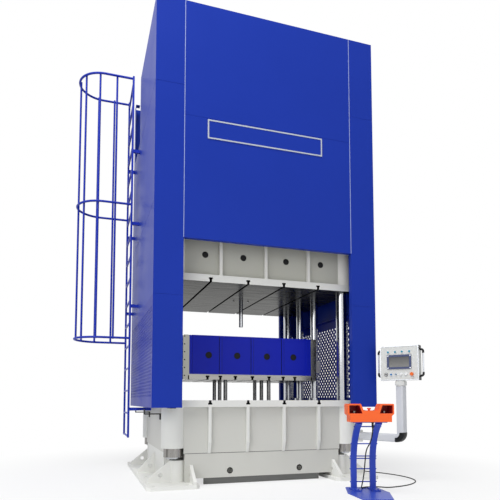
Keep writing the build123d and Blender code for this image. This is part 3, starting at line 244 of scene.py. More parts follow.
def inside_box(tree, place, half_x, half_y, low_z=-1.0, high_z=9.0):
    """1 where |x| and |y| are less than the halves and z lies between the levels, and 0 elsewhere."""
    x, y, z = add_node(tree, "SeparateXYZ", {0: place}).outputs
    x, y = [add_node(tree, "Math", {0: value}, operation="ABSOLUTE").outputs[0] for value in (x, y)]
    share = 1.0
    for value, limit, test in ((x, half_x, "LESS_THAN"), (y, half_y, "LESS_THAN"),
                               (z, high_z, "LESS_THAN"), (z, low_z, "GREATER_THAN")):
        passed = add_node(tree, "Math", {0: value, 1: limit}, operation=test).outputs[0]
        share = add_node(tree, "Math", {0: share, 1: passed}, operation="MULTIPLY").outputs[0]
    return share


def shade(tree, shader, share, tint):
    """Where the share is 1, the colour that the shader has so far gives way to this one."""
    before = shader.inputs["Base Color"]
    before = before.links[0].from_socket if before.links else tuple(before.default_value)
    mixed = add_node(tree, "Mix", {0: share, 6: before, 7: colour(tint)}, data_type="RGBA")
    tree.links.new(mixed.outputs[2], shader.inputs["Base Color"])


def dress(material, *names):
    """Give these nodes of the solid model one material in every slot."""
    for name in names:
        mesh = nodes[name].data
        if not mesh.materials:
            mesh.materials.append(material)
        for slot in nodes[name].material_slots:
            slot.material = material


frame_paint = enamel("light_grey_frame_enamel", "#EEEEEA", "#E6E7E3", 0.42)[0]
stand_paint = enamel("blue_stand_enamel", "#3C55C4", "#344CB6", 0.36)[0]
ladder_paint = enamel("blue_ladder_enamel", "#2238B2", "#1D309E", 0.38)[0]
arm_paint = enamel("pale_grey_arm_powder", "#DADDE2", "#D1D4D9", 0.46)[0]
box_paint = enamel("white_box_powder", "#DDDFDC", "#D5D7D4", 0.42)[0]
tank_paint = enamel("mid_grey_tank_enamel", "#9AA0A3", "#8C9295", 0.45)[0]
motor_paint = enamel("slate_motor_enamel", "#4C5B76", "#42506A", 0.45)[0]
bracket_paint = enamel("black_bracket_enamel", "#26272A", "#1D1E21", 0.5)[0]
dress(frame_paint, "foot_right", "foot_left", "crown_frame", "main_cylinders", "cushion_cylinder",
      "platen_guides", "arm_bracket")
dress(stand_paint, "console_stand")
dress(ladder_paint, "ladder", "safety_cage")
dress(arm_paint, "swing_arm")
dress(box_paint, "panel_box")
dress(tank_paint, "oil_tank", "service_deck")
dress(motor_paint, "pump_motor")
dress(bracket_paint, "cover_brackets")
print("paints", len(bpy.data.materials))

# %% [markdown]
# ## Painted shade behind the ribs
#
# The slide and the bed are weldments: ribs and corner bosses stand in front of a wall that lies 45 mm
# further in. The wall gets less light than the ribs, so it is painted a tone duller: painted shade.
# A point belongs to the wall where it lies inside a box just larger than the wall's own. The bed's
# lowest 79 mm between the feet, under the apron, is found in the same way and painted dark grey:
# painted shade. On the platen's beams a rib stands every 407 mm, and the wall within 6 mm of it on
# either side is painted dark blue: painted shade in the corner.

# %% Paint of the weldments
wall_half = (1.134, 0.962)
plinth_half = (0.75, 2.0)
plinth_levels = (-1.0, 0.079)
slide_paint, tree, shader, place = enamel("grey_slide_enamel", "#E9E8E2", "#E0DFD9", 0.42)
# Painted shade: the wall behind the slide's ribs is painted a duller grey.
shade(tree, shader, inside_box(tree, place, *wall_half), "#BDBDB3")
dress(slide_paint, "slide_frame")
bed_paint, tree, shader, place = enamel("grey_bed_enamel", "#E9EAE6", "#E0E1DD", 0.42)
# Painted shade: the wall behind the bed's ribs is painted a duller grey.
shade(tree, shader, inside_box(tree, place, *wall_half), "#CFCFC9")
# Painted shade: the strip below 79 mm, under the apron, is painted dark grey.
shade(tree, shader, inside_box(tree, place, *plinth_half, *plinth_levels), "#868785")
dress(bed_paint, "bed_frame")

rib_step = 0.407
rib_half = 0.014
rib_corner_shade = 0.006
web_half = (0.72, 0.4895)
web_foot = 1.25
platen_paint, tree, shader, place = enamel("deep_blue_platen_enamel", "#0722CC", "#061EBA", 0.36)
x = add_node(tree, "SeparateXYZ", {0: place}).outputs["X"]
beside = add_node(tree, "Math", {0: x, 1: rib_step}, operation="PINGPONG")
web = inside_box(tree, place, *web_half, web_foot)
# Painted shade: within 6 mm on either side of each rib, the wall is painted dark blue.
for rib in (0.0, rib_step):
    near = add_node(tree, "Math", {0: beside.outputs[0], 1: rib, 2: rib_half + rib_corner_shade},
                    operation="COMPARE")
    share = add_node(tree, "Math", {0: near.outputs[0], 1: web}, operation="MULTIPLY")
    shade(tree, shader, share.outputs[0], "#050C48")
dress(platen_paint, "platen_beams")
print("weldments painted")

# %% [markdown]
# ## The blue cladding
#
# The covers are folded from 4 mm sheet and hang edge to edge. They have the same sprayed enamel as the
# frame, in a clear blue, but reflect less of the pale studio, so that a side that is seen at a low
# angle stays blue. Their level seams are real grooves in the solid model and need no paint.

# %% Cladding enamel
cladding = enamel("blue_cladding_enamel", "#213BA8", "#1D369C", 0.34, specular=0.06)[0]
dress(cladding, "cover_front_right", "cover_front_left", "covers_rear", "panel_front", "panel_rear",
      "side_panel_right", "side_panel_left", "name_board")
print("cladding dressed")

# %% [markdown]
# ## Machined and chromed steel
#
# The tables are milled, which leaves fine parallel lines, so their gloss is streaked along the cut.
# The columns and rods are ground and hard-chromed: nearly mirrors, with faint rings from grinding.
# Nuts are turned and left bare. All are metals, so their colour is in the reflection. Where a tool
# slot ends in the platen's end plates, the deep slot lies in shade, and it is painted near black:
# painted shade.

# %% Bare metals
# Near black for the tool slots: painted shade.
slot_shade_black = "#0B0B0C"
platen_half_y = 0.4897
platen_slot_foot = 1.1803
end_slot_x = 0.8096
end_slot_top = 1.2285


def bare_metal(name, tint, roughness, spread, stretch, line_metres, depth):
    """Metal with streaks: a noise squeezed along some axes changes its gloss and its height."""
    material, tree, shader, place = start_material(name, Base_Color=colour(tint), Metallic=1.0)
    squeezed = add_node(tree, "Mapping", {"Vector": place, "Scale": stretch}).outputs[0]
    streak = add_node(tree, "TexNoise",
                      {"Vector": squeezed, "Scale": 1 / line_metres, "Detail": 4.0}).outputs["Fac"]
    gloss = add_node(tree, "MapRange", {0: streak, 1: noise_low, 2: noise_high,
                                        3: roughness - spread, 4: roughness + spread})
    bump = add_node(tree, "Bump", {"Height": streak, "Strength": 0.3, "Distance": depth})
    tree.links.new(gloss.outputs[0], shader.inputs["Roughness"])
    tree.links.new(bump.outputs[0], shader.inputs["Normal"])
    return material, tree, shader, place


# Tint, roughness and its spread, how far the noise is squeezed, line spacing and depth in metres.
milled = bare_metal("milled_steel", "#7C7C7B", 0.30, 0.12, (1.0, 0.04, 1.0), 0.02, 0.0006)[0]
chromed = bare_metal("hard_chromed_steel", "#BCBEC2", 0.14, 0.05, (0.2, 0.2, 1.0), 0.01, 0.0001)[0]
turned = bare_metal("turned_steel", "#94928F", 0.34, 0.12, (1.0, 1.0, 0.05), 0.012, 0.0012)[0]
bronze = bare_metal("bearing_bronze", "#A9814C", 0.35, 0.08, (1.0, 1.0, 1.0), 0.01, 0.0004)[0]
drawn = bare_metal("drawn_steel_pipe", "#B4B6B8", 0.28, 0.08, (1.0, 1.0, 1.0), 0.01, 0.0002)[0]
satin_alloy = bare_metal("anodised_aluminium", "#CDD0D6", 0.32, 0.06, (1.0, 1.0, 0.1), 0.004, 0.0001)[0]
end_steel, tree, shader, place = bare_metal("ground_end_plate_steel", "#7D7D78", 0.20, 0.05,
                                            (1.0, 1.0, 0.2), 0.03, 0.0001)
# Painted shade: the end of each tool slot in the end plates is painted near black.
end_slot = inside_box(tree, place, end_slot_x, platen_half_y, platen_slot_foot, end_slot_top)
shade(tree, shader, end_slot, slot_shade_black)
dress(milled, "slide_plate", "cushion_crosshead", "valve_block", "lift_rods")
dress(chromed, "tie_columns", "guide_rods", "slide_rams", "ejector_rod")
dress(turned, "column_nuts", "key_switch", "palm_left", "palm_right")
dress(end_steel, "platen_ends")
dress(bronze, "slide_bushes")
dress(drawn, "pressure_pipes")
dress(satin_alloy, "panel_handles")
print("metals done")

# %% [markdown]
# ## Plastic, rubber and glass
#
# Push buttons are glossy moulded polymer, the console is a mat moulded cover, the cable has a mat
# rubber sheath and the screen a dark glass front. Their colours are plain, so they are set on the
# shader itself, and only a fine moulding grain is drawn. The screen alone grows darker upwards.

# %% Moulded plastics, rubber and glass


def moulded(name, tint, roughness, grain_metres=0.003, grain_depth=0.0001):
    """Moulded polymer: one colour through, with a fine grain in its surface."""
    material, tree, shader, place = start_material(name, Base_Color=colour(tint), Roughness=roughness,
                                                   IOR=1.5, Specular_IOR_Level=0.25)
    grain = add_node(tree, "TexNoise",
                     {"Vector": place, "Scale": 1 / grain_metres, "Detail": 2.0}).outputs["Fac"]
    bump = add_node(tree, "Bump", {"Height": grain, "Strength": 0.3, "Distance": grain_depth})
    tree.links.new(bump.outputs[0], shader.inputs["Normal"])
    return material


teal = "#1688A0"
button_white = "#F0F0EE"
button_colours = {"button_top_1": teal, "button_top_2": teal, "button_top_3": teal,
                  "button_top_4": teal, "button_blue": "#1C72B4", "button_grey": "#8A97A6",
                  "button_white_left": button_white, "button_white_right": button_white}
for name, tint in button_colours.items():
    dress(moulded(name + "_cap", tint, 0.25), name)
dress(moulded("orange_moulded_cover", "#FF6C30", 0.42), "console_yoke")
dress(moulded("orange_stop_head", "#F07030", 0.3), "panel_stop")
dress(moulded("red_stop_head", "#E8502C", 0.3), "console_stop")
red_lining = moulded("red_pocket_lining", "#AD1C24", 0.4)
black_plastic = moulded("black_moulded_plastic", "#17181B", 0.42)
dress(black_plastic, "cable_glands")
bezel_plastic = moulded("slate_screen_bezel", "#4A5376", 0.35)
rubber = moulded("black_rubber_sheath", "#101011", 0.6, grain_metres=0.004, grain_depth=0.0002)
dress(rubber, "console_cable")

screen_glass, tree, shader, place = start_material("dark_screen_glass", Roughness=0.12, IOR=1.5)
screen_low, screen_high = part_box("panel_screen")
height = add_node(tree, "SeparateXYZ", {0: place}).outputs["Z"]
rise = add_node(tree, "MapRange", {0: height, 1: screen_low.z, 2: screen_high.z})
tone = add_node(tree, "Mix", {0: rise.outputs[0], 6: colour("#8C8C8A"), 7: colour("#3A3C3E")},
                data_type="RGBA")
tree.links.new(tone.outputs[2], shader.inputs["Base Color"])
dress(screen_glass, "panel_screen")
print("plastics done")

# %% [markdown]
# ## Slotted plates with two finishes
#
# The bed table and the slide plate are painted on the rim and milled on the working face. A face is
# milled where its normal points up, or down on the slide, so the normal's Z mixes the two finishes.
# The milling runs across, which draws reflections out from front to back. The platen's plate is
# milled all over. Inside, the tool slots see no light, so their walls are painted near black: painted
# shade.

# %% Painted rim, milled face and dark slots
slot_head_half = 0.0238
table_slots = (0.22, 0.66)
platen_slots = (0.0, 0.22, 0.41, 0.57)
table_half_y = 1.0027
platen_slot_top = 1.23
any_x = 2.0
lines_per_metre = 60.0


def slot_walls(tree, place, slots, half_y, low_z, high_z):
    """1 on the walls of the tool slots: nearer than a head's half width to one of their middles."""
    x = add_node(tree, "SeparateXYZ", {0: place}).outputs["X"]
    beside = add_node(tree, "Math", {0: x}, operation="ABSOLUTE").outputs[0]
    near = 0.0
    for slot in slots:
        here = add_node(tree, "Math", {0: beside, 1: slot, 2: slot_head_half}, operation="COMPARE")
        near = add_node(tree, "Math", {0: near, 1: here.outputs[0]}, operation="MAXIMUM").outputs[0]
    between = inside_box(tree, place, any_x, half_y, low_z, high_z)
    return add_node(tree, "Math", {0: near, 1: between}, operation="MULTIPLY").outputs[0]


def two_finishes(name, milled_sign, tint, low_z, high_z):
    """Grey paint on the rim and milled steel where the normal points up (1) or down (-1)."""
    material, tree, shader, place = enamel(name, "#E8E8E4", "#DFE0DC", 0.42)
    normal = add_node(tree, "NewGeometry").outputs["Normal"]
    up = add_node(tree, "SeparateXYZ", {0: normal}).outputs["Z"]
    flat = add_node(tree, "Math", {0: up, 1: milled_sign}, operation="MULTIPLY")
    share = add_node(tree, "MapRange", {0: flat.outputs[0], 1: 0.5, 2: 0.6})
    squeezed = add_node(tree, "Mapping", {"Vector": place, "Scale": (0.04, 1.0, 1.0)}).outputs[0]
    streak = add_node(tree, "TexNoise",
                      {"Vector": squeezed, "Scale": lines_per_metre, "Detail": 4.0}).outputs["Fac"]
    gloss = add_node(tree, "MapRange", {0: streak, 1: noise_low, 2: noise_high, 3: 0.16, 4: 0.34})
    lines = add_node(tree, "Bump", {"Height": streak, "Strength": 0.35, "Distance": 0.0008})
    steel = add_node(tree, "BsdfPrincipled",
                     {"Base Color": colour(tint), "Metallic": 1.0, "Roughness": gloss.outputs[0],
                      "Specular Tint": colour("#BCBCBC"), "Normal": lines.outputs[0]})
    mixed = add_node(tree, "MixShader",
                     {0: share.outputs[0], 1: shader.outputs[0], 2: steel.outputs[0]})
    tree.links.new(mixed.outputs[0], tree.nodes["Material Output"].inputs["Surface"])
    # Painted shade: the walls of the tool slots are painted near black.
    dark = slot_walls(tree, place, table_slots, table_half_y, low_z, high_z)
    for part in (shader, steel):
        shade(tree, part, dark, slot_shade_black)
    return material


dress(two_finishes("bed_table_finish", 1.0, "#8F8F8C", low_z=0.87, high_z=0.9297), "bed_table")
dress(two_finishes("slide_plate_finish", -1.0, "#6F6F6C", low_z=2.2563, high_z=2.32), "slide_plate")
platen_steel, tree, shader, place = bare_metal("platen_plate_steel", "#8B8A86", 0.28, 0.06,
                                               (0.05, 1.0, 1.0), 0.02, 0.0003)
# Painted shade: the walls of the platen's tool slots are painted near black.
dark = slot_walls(tree, place, platen_slots, platen_half_y, platen_slot_foot, platen_slot_top)
shade(tree, shader, dark, slot_shade_black)
dress(platen_steel, "platen_plate")
print("tables done")

# %% [markdown]
# ## Surfaces from arrays
#
# The new pieces are thin or round and repeat, so each is worked out as arrays of points. A grid of
# points with two parameters becomes a mesh by joining each point to its neighbours, and a family of
# boxes is one array of corners. A finished piece lies where it belongs, so its object stays at the
# origin.

# %% Helpers that make meshes
four_signs = [(s, t) for s in (-1, 1) for t in (-1, 1)]


def mesh_piece(name, points, faces, material, body, slot, smooth=False):
    """Make a mesh object from an array of points (n, 3) and one of faces, and let it ride a body."""
    mesh = bpy.data.meshes.new(name)
    mesh.from_pydata(np.asarray(points).tolist(), [], np.asarray(faces).tolist())
    mesh.polygons.foreach_set("use_smooth", np.full(len(mesh.polygons), smooth))
    mesh.materials.append(material)
    mesh.update()
    piece = bpy.data.objects.new(name, mesh)
    bpy.context.scene.collection.objects.link(piece)
    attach(piece, body)
    return piece


def soften(piece, width):
    """Round a piece's edges with a bevel of three steps."""
    bevel = piece.modifiers.new("softened", "BEVEL")
    bevel.width = width
    bevel.segments = 3


def grid_faces(rows, columns, wrap=False):
    """Quads that join a grid of points, each to the next in its row and in the row above."""
    across = np.arange(columns if wrap else columns - 1)
    up = np.arange(rows - 1)[:, None]
    here = up * columns + across
    beside = up * columns + (across + 1) % columns
    return np.stack([here, beside, beside + columns, here + columns], axis=-1).reshape(-1, 4)


def boxes(pairs):
    """Corners and faces of many boxes, each given by two opposite corners in either order."""
    pairs = np.asarray(pairs, float)
    lows = pairs.min(axis=1)
    highs = pairs.max(axis=1)
    pick = np.array([[i & 1, (i >> 1) & 1, (i >> 2) & 1] for i in range(8)])
    corners = np.where(pick[None], highs[:, None], lows[:, None]).reshape(-1, 3)
    sides = np.array([[0, 2, 3, 1], [4, 5, 7, 6], [0, 1, 5, 4],
                      [2, 6, 7, 3], [0, 4, 6, 2], [1, 3, 7, 5]])
    faces = (sides[None] + 8 * np.arange(len(lows))[:, None, None]).reshape(-1, 4)
    return corners, faces


def rim_boxes(low, high, width, levels):
    """Four bars round an upright rectangle given as (across, up), between two levels of depth."""
    (x0, z0), (x1, z1), (y0, y1) = low, high, levels
    return boxes([((x0, y0, z0), (x1, y1, z0 + width)),
                  ((x0, y0, z1 - width), (x1, y1, z1)),
                  ((x0, y0, z0 + width), (x0 + width, y1, z1 - width)),
                  ((x1 - width, y0, z0 + width), (x1, y1, z1 - width))])


def turned_shape(profile, axis_from, axis_to, sides=24):
    """Turn a profile of (distance along, radius) about the line between two points: a lathe's work."""
    axis_from = np.asarray(axis_from, float)
    axis = np.asarray(axis_to, float) - axis_from
    axis /= np.linalg.norm(axis)
    side = np.cross(axis, (0.0, 0.0, 1.0) if abs(axis[2]) < 0.9 else (1.0, 0.0, 0.0))
    side /= np.linalg.norm(side)
    angle = np.linspace(0, 2 * math.pi, sides, endpoint=False)
    spoke = np.cos(angle)[:, None] * side + np.sin(angle)[:, None] * np.cross(axis, side)
    along, radius = np.array(profile, float).T
    points = axis_from + along[:, None, None] * axis + radius[:, None, None] * spoke
    return points.reshape(-1, 3), grid_faces(len(along), sides, wrap=True)


def joined(shapes):
    """Put several (points, faces) into one, moving each face's numbers past the points before it."""
    points = np.concatenate([shape[0] for shape in shapes])
    starts = np.cumsum([0] + [len(shape[0]) for shape in shapes[:-1]])
    faces = np.concatenate([shape[1] + start for shape, start in zip(shapes, starts)])
    return points, faces


print("mesh helpers ready")

# %% [markdown]
# ## Perforated side sheets
#
# The lower side sheets are punched with round holes in staggered columns, so air and light pass. Each
# hole sits in a cell of its own: twelve points on the cell's edge and twelve on the hole, in front and
# behind, joined as a ring. The cells tile the sheet, plain strips finish its rim, and two folds
# stiffen it.

# %% Punched sheets
hole_r = 0.0147
cell_y = 0.041
cell_z = 0.075
rim = 0.055
sheet_low, sheet_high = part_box("mesh_panels")
sheet_t = 0.004
fold_depth = 0.060
fold_inset = 0.066


def punched_sheet(outer_x, inward):
    """Cells with holes: the ring runs from the cell's edge to the hole, through the sheet and back."""
    columns = int((sheet_high.y - sheet_low.y - 2 * rim) / cell_y)
    rows = int((sheet_high.z - sheet_low.z - 2 * rim) / cell_z) - 1
    y0 = (sheet_low.y + sheet_high.y - columns * cell_y) / 2
    z0 = (sheet_low.z + sheet_high.z - (rows + 0.5) * cell_z) / 2
    y1 = y0 + columns * cell_y
    z1 = z0 + (rows + 0.5) * cell_z
    column, row = np.meshgrid(np.arange(columns), np.arange(rows), indexing="ij")
    centre_y = y0 + (column + 0.5) * cell_y
    centre_z = z0 + (row + 0.5 + 0.5 * (column % 2)) * cell_z

    corner = math.atan2(cell_z, cell_y)
    half = np.array([0, corner / 2, corner, math.pi / 2, math.pi - corner, math.pi - corner / 2])
    angle = np.concatenate([half, half + math.pi])
    reach = np.minimum(cell_y / 2 / np.maximum(np.abs(np.cos(angle)), 1e-9),
                       cell_z / 2 / np.maximum(np.abs(np.sin(angle)), 1e-9))
    hole = np.full(len(angle), hole_r)
    radius = np.stack([reach, hole, hole, reach])
    depth = np.array([0, 0, sheet_t, sheet_t])
    y = centre_y.reshape(-1, 1, 1) + radius * np.cos(angle)
    z = centre_z.reshape(-1, 1, 1) + radius * np.sin(angle)
    x = np.broadcast_to((outer_x + inward * depth)[None, :, None], y.shape)
    points = np.stack([x, y, z], axis=-1).reshape(-1, 3)
    ring = grid_faces(*radius.shape, wrap=True)
    faces = (ring[None] + radius.size * np.arange(columns * rows)[:, None, None]).reshape(-1, 4)

    inner_x = outer_x + inward * sheet_t
    strips = [((outer_x, sheet_low.y, sheet_low.z), (inner_x, sheet_high.y, z0)),
              ((outer_x, sheet_low.y, z1), (inner_x, sheet_high.y, sheet_high.z)),
              ((outer_x, sheet_low.y, z0), (inner_x, y0, z1)),
              ((outer_x, y1, z0), (inner_x, sheet_high.y, z1))]
    for k in range(columns):
        low_y = y0 + k * cell_y
        low_z = z0 if k % 2 else z1 - cell_z / 2
        strips.append(((outer_x, low_y, low_z), (inner_x, low_y + cell_y, low_z + cell_z / 2)))
    for z in (sheet_low.z, sheet_high.z - sheet_t):
        strips.append(((inner_x, sheet_low.y + fold_inset, z),
                       (outer_x + inward * fold_depth, sheet_high.y - fold_inset, z + sheet_t)))
    return joined([(points, faces), boxes(strips)])


mesh_paint = enamel("dark_blue_mesh_enamel", "#182FA4", "#142894", 0.36, specular=0.06)[0]
points, faces = joined([punched_sheet(sheet_low.x, 1), punched_sheet(sheet_high.x, -1)])
punched = mesh_piece("punched_side_sheets", points, faces, mesh_paint, "frame", "mesh_blue")
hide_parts("mesh_panels")
print("punched faces", len(faces))

# %% [markdown]
# ## Sealing strips and the rim of the board
#
# Where the front panel meets the corner covers, a pale sealing strip shows as a fine upright line.
# The name board has a pale rim and a bare field. Both are thin boxes on the front face.

# %% Strips on the front
front_low, front_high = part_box("panel_front")
strip_w = 0.006
strip_t = 0.0015
seal = moulded("pale_sealing_strip", "#A9B4DC", 0.5)
strips = [((x - strip_w / 2, front_low.y - strip_t, front_low.z),
           (x + strip_w / 2, front_low.y, front_high.z)) for x in (front_low.x, front_high.x)]
mesh_piece("sealing_strips", *boxes(strips), seal, "frame", "cladding_blue")

board_low, board_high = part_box("name_board")
rim_w = 0.016
rim_t = 0.001
rim_paint = moulded("pale_board_rim", "#B9BFC9", 0.4)
bars = rim_boxes((board_low.x, board_low.z), (board_high.x, board_high.z), rim_w,
                 (board_low.y - rim_t, board_low.y))
mesh_piece("board_rim", *bars, rim_paint, "frame", "board_blue")
print("strips done")

# %% [markdown]
# ## Flanges, screws and plugs of the platen and the slide
#
# Blue flange plates close the platen's beams at their ends, black socket screws sit in the end plates,
# and black rubber plugs close the round holes that the slide and the beams are lifted by. A screw or a
# plug is a profile turned about its own axis, so one small profile makes the whole family.

# %% Flanges, screws and plugs
pole = 0.0001
gap = 0.0003
flange_x = (0.757 + gap, 0.795 - gap)
flange_y = (0.370, 0.484)
flange_z = (1.2443, 1.714)
flanges = [tuple((s * x, t * y, z) for x, y, z in zip(flange_x, flange_y, flange_z))
           for s, t in four_signs]
mesh_piece("beam_end_flanges", *boxes(flanges), platen_paint, "platen", "platen_blue")

screw_profile = [(-0.006, pole), (-0.006, 0.0078), (-0.0008, 0.0078), (0.0, 0.0070), (0.0, 0.0048),
                 (-0.0005, 0.0044), (0.0, 0.0040), (0.0, pole)]
screw_x = 0.852
screw_y = 0.4885
screw_levels = 1.696 - 0.094 * np.arange(6)
screws = []
for s, t in four_signs:
    for z in screw_levels:
        screw_at = np.array([s * screw_x, t * screw_y, z])
        screws.append(turned_shape(screw_profile, screw_at, screw_at + (0.0, t, 0.0), sides=16))
mesh_piece("end_plate_screws", *joined(screws), black_plastic, "platen", "gland_black")


def plug_at(x, y, z, radius):
    """A domed rubber plug in a hole of a front wall: its dome rises by a twelfth of its radius."""
    slope = np.linspace(math.pi / 2, 0.0, 5)
    profile = [(-0.0005, pole), (-0.0005, radius)]
    profile += [(radius / 12 * math.cos(a), max(radius * math.sin(a), pole)) for a in slope]
    centre = np.array([x, y, z])
    return turned_shape(profile, centre, centre + (0.0, -1.0, 0.0), sides=32)


slide_plugs = [plug_at(x, y=-0.9586, z=2.570, radius=0.0365) for x in (-0.716, -0.265, 0.265, 0.716)]
mesh_piece("slide_hole_plugs", *joined(slide_plugs), rubber, "slide", "gland_black", smooth=True)
beam_plugs = [plug_at(x, y=-0.4826, z=1.476, radius=0.0410) for x in (-0.555, -0.195, 0.195, 0.555)]
mesh_piece("beam_hole_plugs", *joined(beam_plugs), rubber, "platen", "gland_black", smooth=True)
print("screws", len(screws), "plugs", len(slide_plugs) + len(beam_plugs))

# %% [markdown]
# ## Small pieces on the bed
#
# A plate closes the gap between each foot's pillar and the apron. Where the bed's wall meets the
# apron, a thin dark strip is painted shadow: the shadow line under the overhanging edge of the bed's
# bottom plate. Black rings round the apron's round holes are painted shade: they stand for the shaded
# inside of each hole. Each ring is flat, so its profile is a small rectangle that ends where it began.

# %% Infill plates, painted shadow lines and painted shade rings
wall_face = 0.958
apron_end = 0.830
infill_reach = 0.930
infill_depth = 0.064
infill_levels = (0.040, 0.349)
infills = [((s * apron_end, t * wall_face, infill_levels[0]),
            (s * infill_reach, t * (wall_face - infill_depth), infill_levels[1]))
           for s, t in four_signs]
mesh_piece("foot_infill_plates", *boxes(infills), bed_paint, "frame", "frame_paint")

# Painted shadow: a thin dark strip for the shadow line under the bed's overhanging edge.
shadow_line_levels = (0.346, 0.352)
shadow_line_proud = 0.0006
shadow_line_paint = enamel("painted_shadow_line", "#6C6D6A", "#5C5D5A", 0.6)[0]
shadow_lines = [((-infill_reach, t * wall_face, shadow_line_levels[0]),
          (infill_reach, t * (wall_face + shadow_line_proud), shadow_line_levels[1])) for t in (-1, 1)]
mesh_piece("apron_shadow_lines", *boxes(shadow_lines), shadow_line_paint, "frame", "frame_paint")

# Painted shade: black rings for the shaded inside of the apron's round holes.
hole_shade_profile = [(0.0, 0.0225), (0.0, 0.0340), (0.0016, 0.0340), (0.0022, 0.0330), (0.0022, 0.0232),
                   (0.0, 0.0225)]
apron_hole_x = 0.420
apron_hole_z = 0.151
hole_shade_rings = []
for s, t in four_signs:
    hole_at = np.array([s * apron_hole_x, t * wall_face, apron_hole_z])
    hole_shade_rings.append(turned_shape(hole_shade_profile, hole_at, hole_at + (0.0, t, 0.0), sides=32))
mesh_piece("apron_hole_shade_rings", *joined(hole_shade_rings), rubber, "frame", "gland_black")
print("hole_shade_rings", len(hole_shade_rings))

# %% [markdown]
# ## The control box
#
# The box turns with its post, so everything on it is placed in the box's own directions, found from
# its buttons: the top row gives the direction across, and the face's normal is square to it. Each
# button but the stop has a turned metal bezel, and the key a black escutcheon. The screen has a
# moulded frame with four screws, the front an alloy rim, the neck a collar and the corners black caps.

# %% Directions of the control box
upward = np.array([0.0, 0.0, 1.0])
box_w = 0.440
box_h = 0.395
box_d = 0.110


def middle(node):
    """The middle of a node's box at rest."""
    low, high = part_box(node)
    return np.array((low + high) / 2)


across = middle("button_top_4") - middle("button_top_1")
across[2] = 0.0
across /= np.linalg.norm(across)
outward = np.cross(across, upward)
post = np.array(joints["panel_swivel"]["pos_m"])
box_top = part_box("panel_box")[1].z
face_centre = np.array([post[0], post[1], box_top - box_h / 2]) + outward * box_d / 2


def along_box(points):
    """Turn points of (across, out, up), measured from the middle of the front, into the frame."""
    return face_centre + np.asarray(points, float) @ np.stack([across, outward, upward])


def from_face(profile, x, z, sides=24):
    """A profile turned about the line that stands out of the front, x across and z up."""
    return turned_shape(profile, *along_box([(x, 0.0, z), (x, 1.0, z)]), sides=sides)


def place_on_face(node):
    """How far a node's middle lies across and up from the middle of the front."""
    offset = middle(node) - face_centre
    return offset @ across, offset[2]


print("box faces", outward.round(3))

# %% Bezels, screen frame and escutcheon
bezel_profile = [(0.0, 0.0124), (0.0, 0.0165), (0.0045, 0.0165), (0.0055, 0.0155), (0.0055, 0.0126),
                 (0.0, 0.0124)]
bezels = [from_face(bezel_profile, *place_on_face(name)) for name in [*button_colours, "key_switch"]]
mesh_piece("button_bezels", *joined(bezels), satin_alloy, "panel", "handle_alloy")

screen_mid_z = (screen_low.z + screen_high.z) / 2 - face_centre[2]
half_w = 0.140
half_h = 0.0825
frame_w = 0.024
frame_levels = (0.004, 0.008)
points, faces = rim_boxes((-half_w, screen_mid_z - half_h), (half_w, screen_mid_z + half_h),
                          frame_w, frame_levels)
mesh_piece("screen_frame", along_box(points), faces, bezel_plastic, "panel", "screen_dark")
head_profile = [(0.0078, pole), (0.0078, 0.0085), (0.0090, 0.0085), (0.0100, 0.0070), (0.0100, pole)]
heads = [from_face(head_profile, s * (half_w - frame_w / 2),
                   screen_mid_z + t * (half_h - frame_w / 2), sides=16) for s, t in four_signs]
mesh_piece("screen_screws", *joined(heads), satin_alloy, "panel", "handle_alloy")

key_profile = [(0.0, 0.0166), (0.0, 0.0215), (0.0020, 0.0215), (0.0028, 0.0205), (0.0028, 0.0166),
               (0.0, 0.0166)]
key_ring = from_face(key_profile, *place_on_face("key_switch"))
mesh_piece("key_escutcheon", *key_ring, black_plastic, "panel", "gland_black")
print("bezels", len(bezels))

# %% Front rim, collar and corner caps
border = 0.008
proud = 0.0035
points, faces = rim_boxes((-box_w / 2, -box_h / 2), (box_w / 2, box_h / 2), border, (0.0, proud))
mesh_piece("box_front_rim", along_box(points), faces, satin_alloy, "panel", "handle_alloy")

collar_half = 0.054
collar_low = 1.097 - face_centre[2]
collar_high = 1.150 - face_centre[2]
points, faces = boxes([((-collar_half, -box_d / 2 - collar_half, collar_low),
                        (collar_half, -box_d / 2 + collar_half, collar_high))])
neck_collar = mesh_piece("neck_collar", along_box(points), faces, box_paint, "panel", "box_white")
soften(neck_collar, 0.010)

cap_side = 0.045
cap_in = 0.010
cap_proud = 0.002
cap_levels = (-0.006, -box_d + 0.004)
caps = [((s * (box_w / 2 + cap_proud), cap_levels[0], t * (box_h / 2 + cap_proud)),
         (s * (box_w / 2 - cap_in), cap_levels[1], t * (box_h / 2 - cap_side)))
        for s, t in four_signs]
points, faces = boxes(caps)
corner_caps = mesh_piece("box_corner_caps", along_box(points), faces, black_plastic, "panel",
                         "gland_black")
soften(corner_caps, 0.008)
print("caps", len(caps))

# %% [markdown]
# ## Black elbows of the handles and of the arm
#
# A handle is an alloy bar held by two moulded elbows. An elbow is a tube whose middle line turns a
# quarter circle, so its surface has two parameters: the angle along the bend and the angle round the
# tube. The arm's own elbow has a black cap on its outer side, made the same way from half a square.

# %% Elbows of the handles
handle_out = 0.038
handle_half = 0.150
handle_bend = 0.024
handle_sleeve = 0.042
elbow_r = 0.0125
handle_r = 0.0095


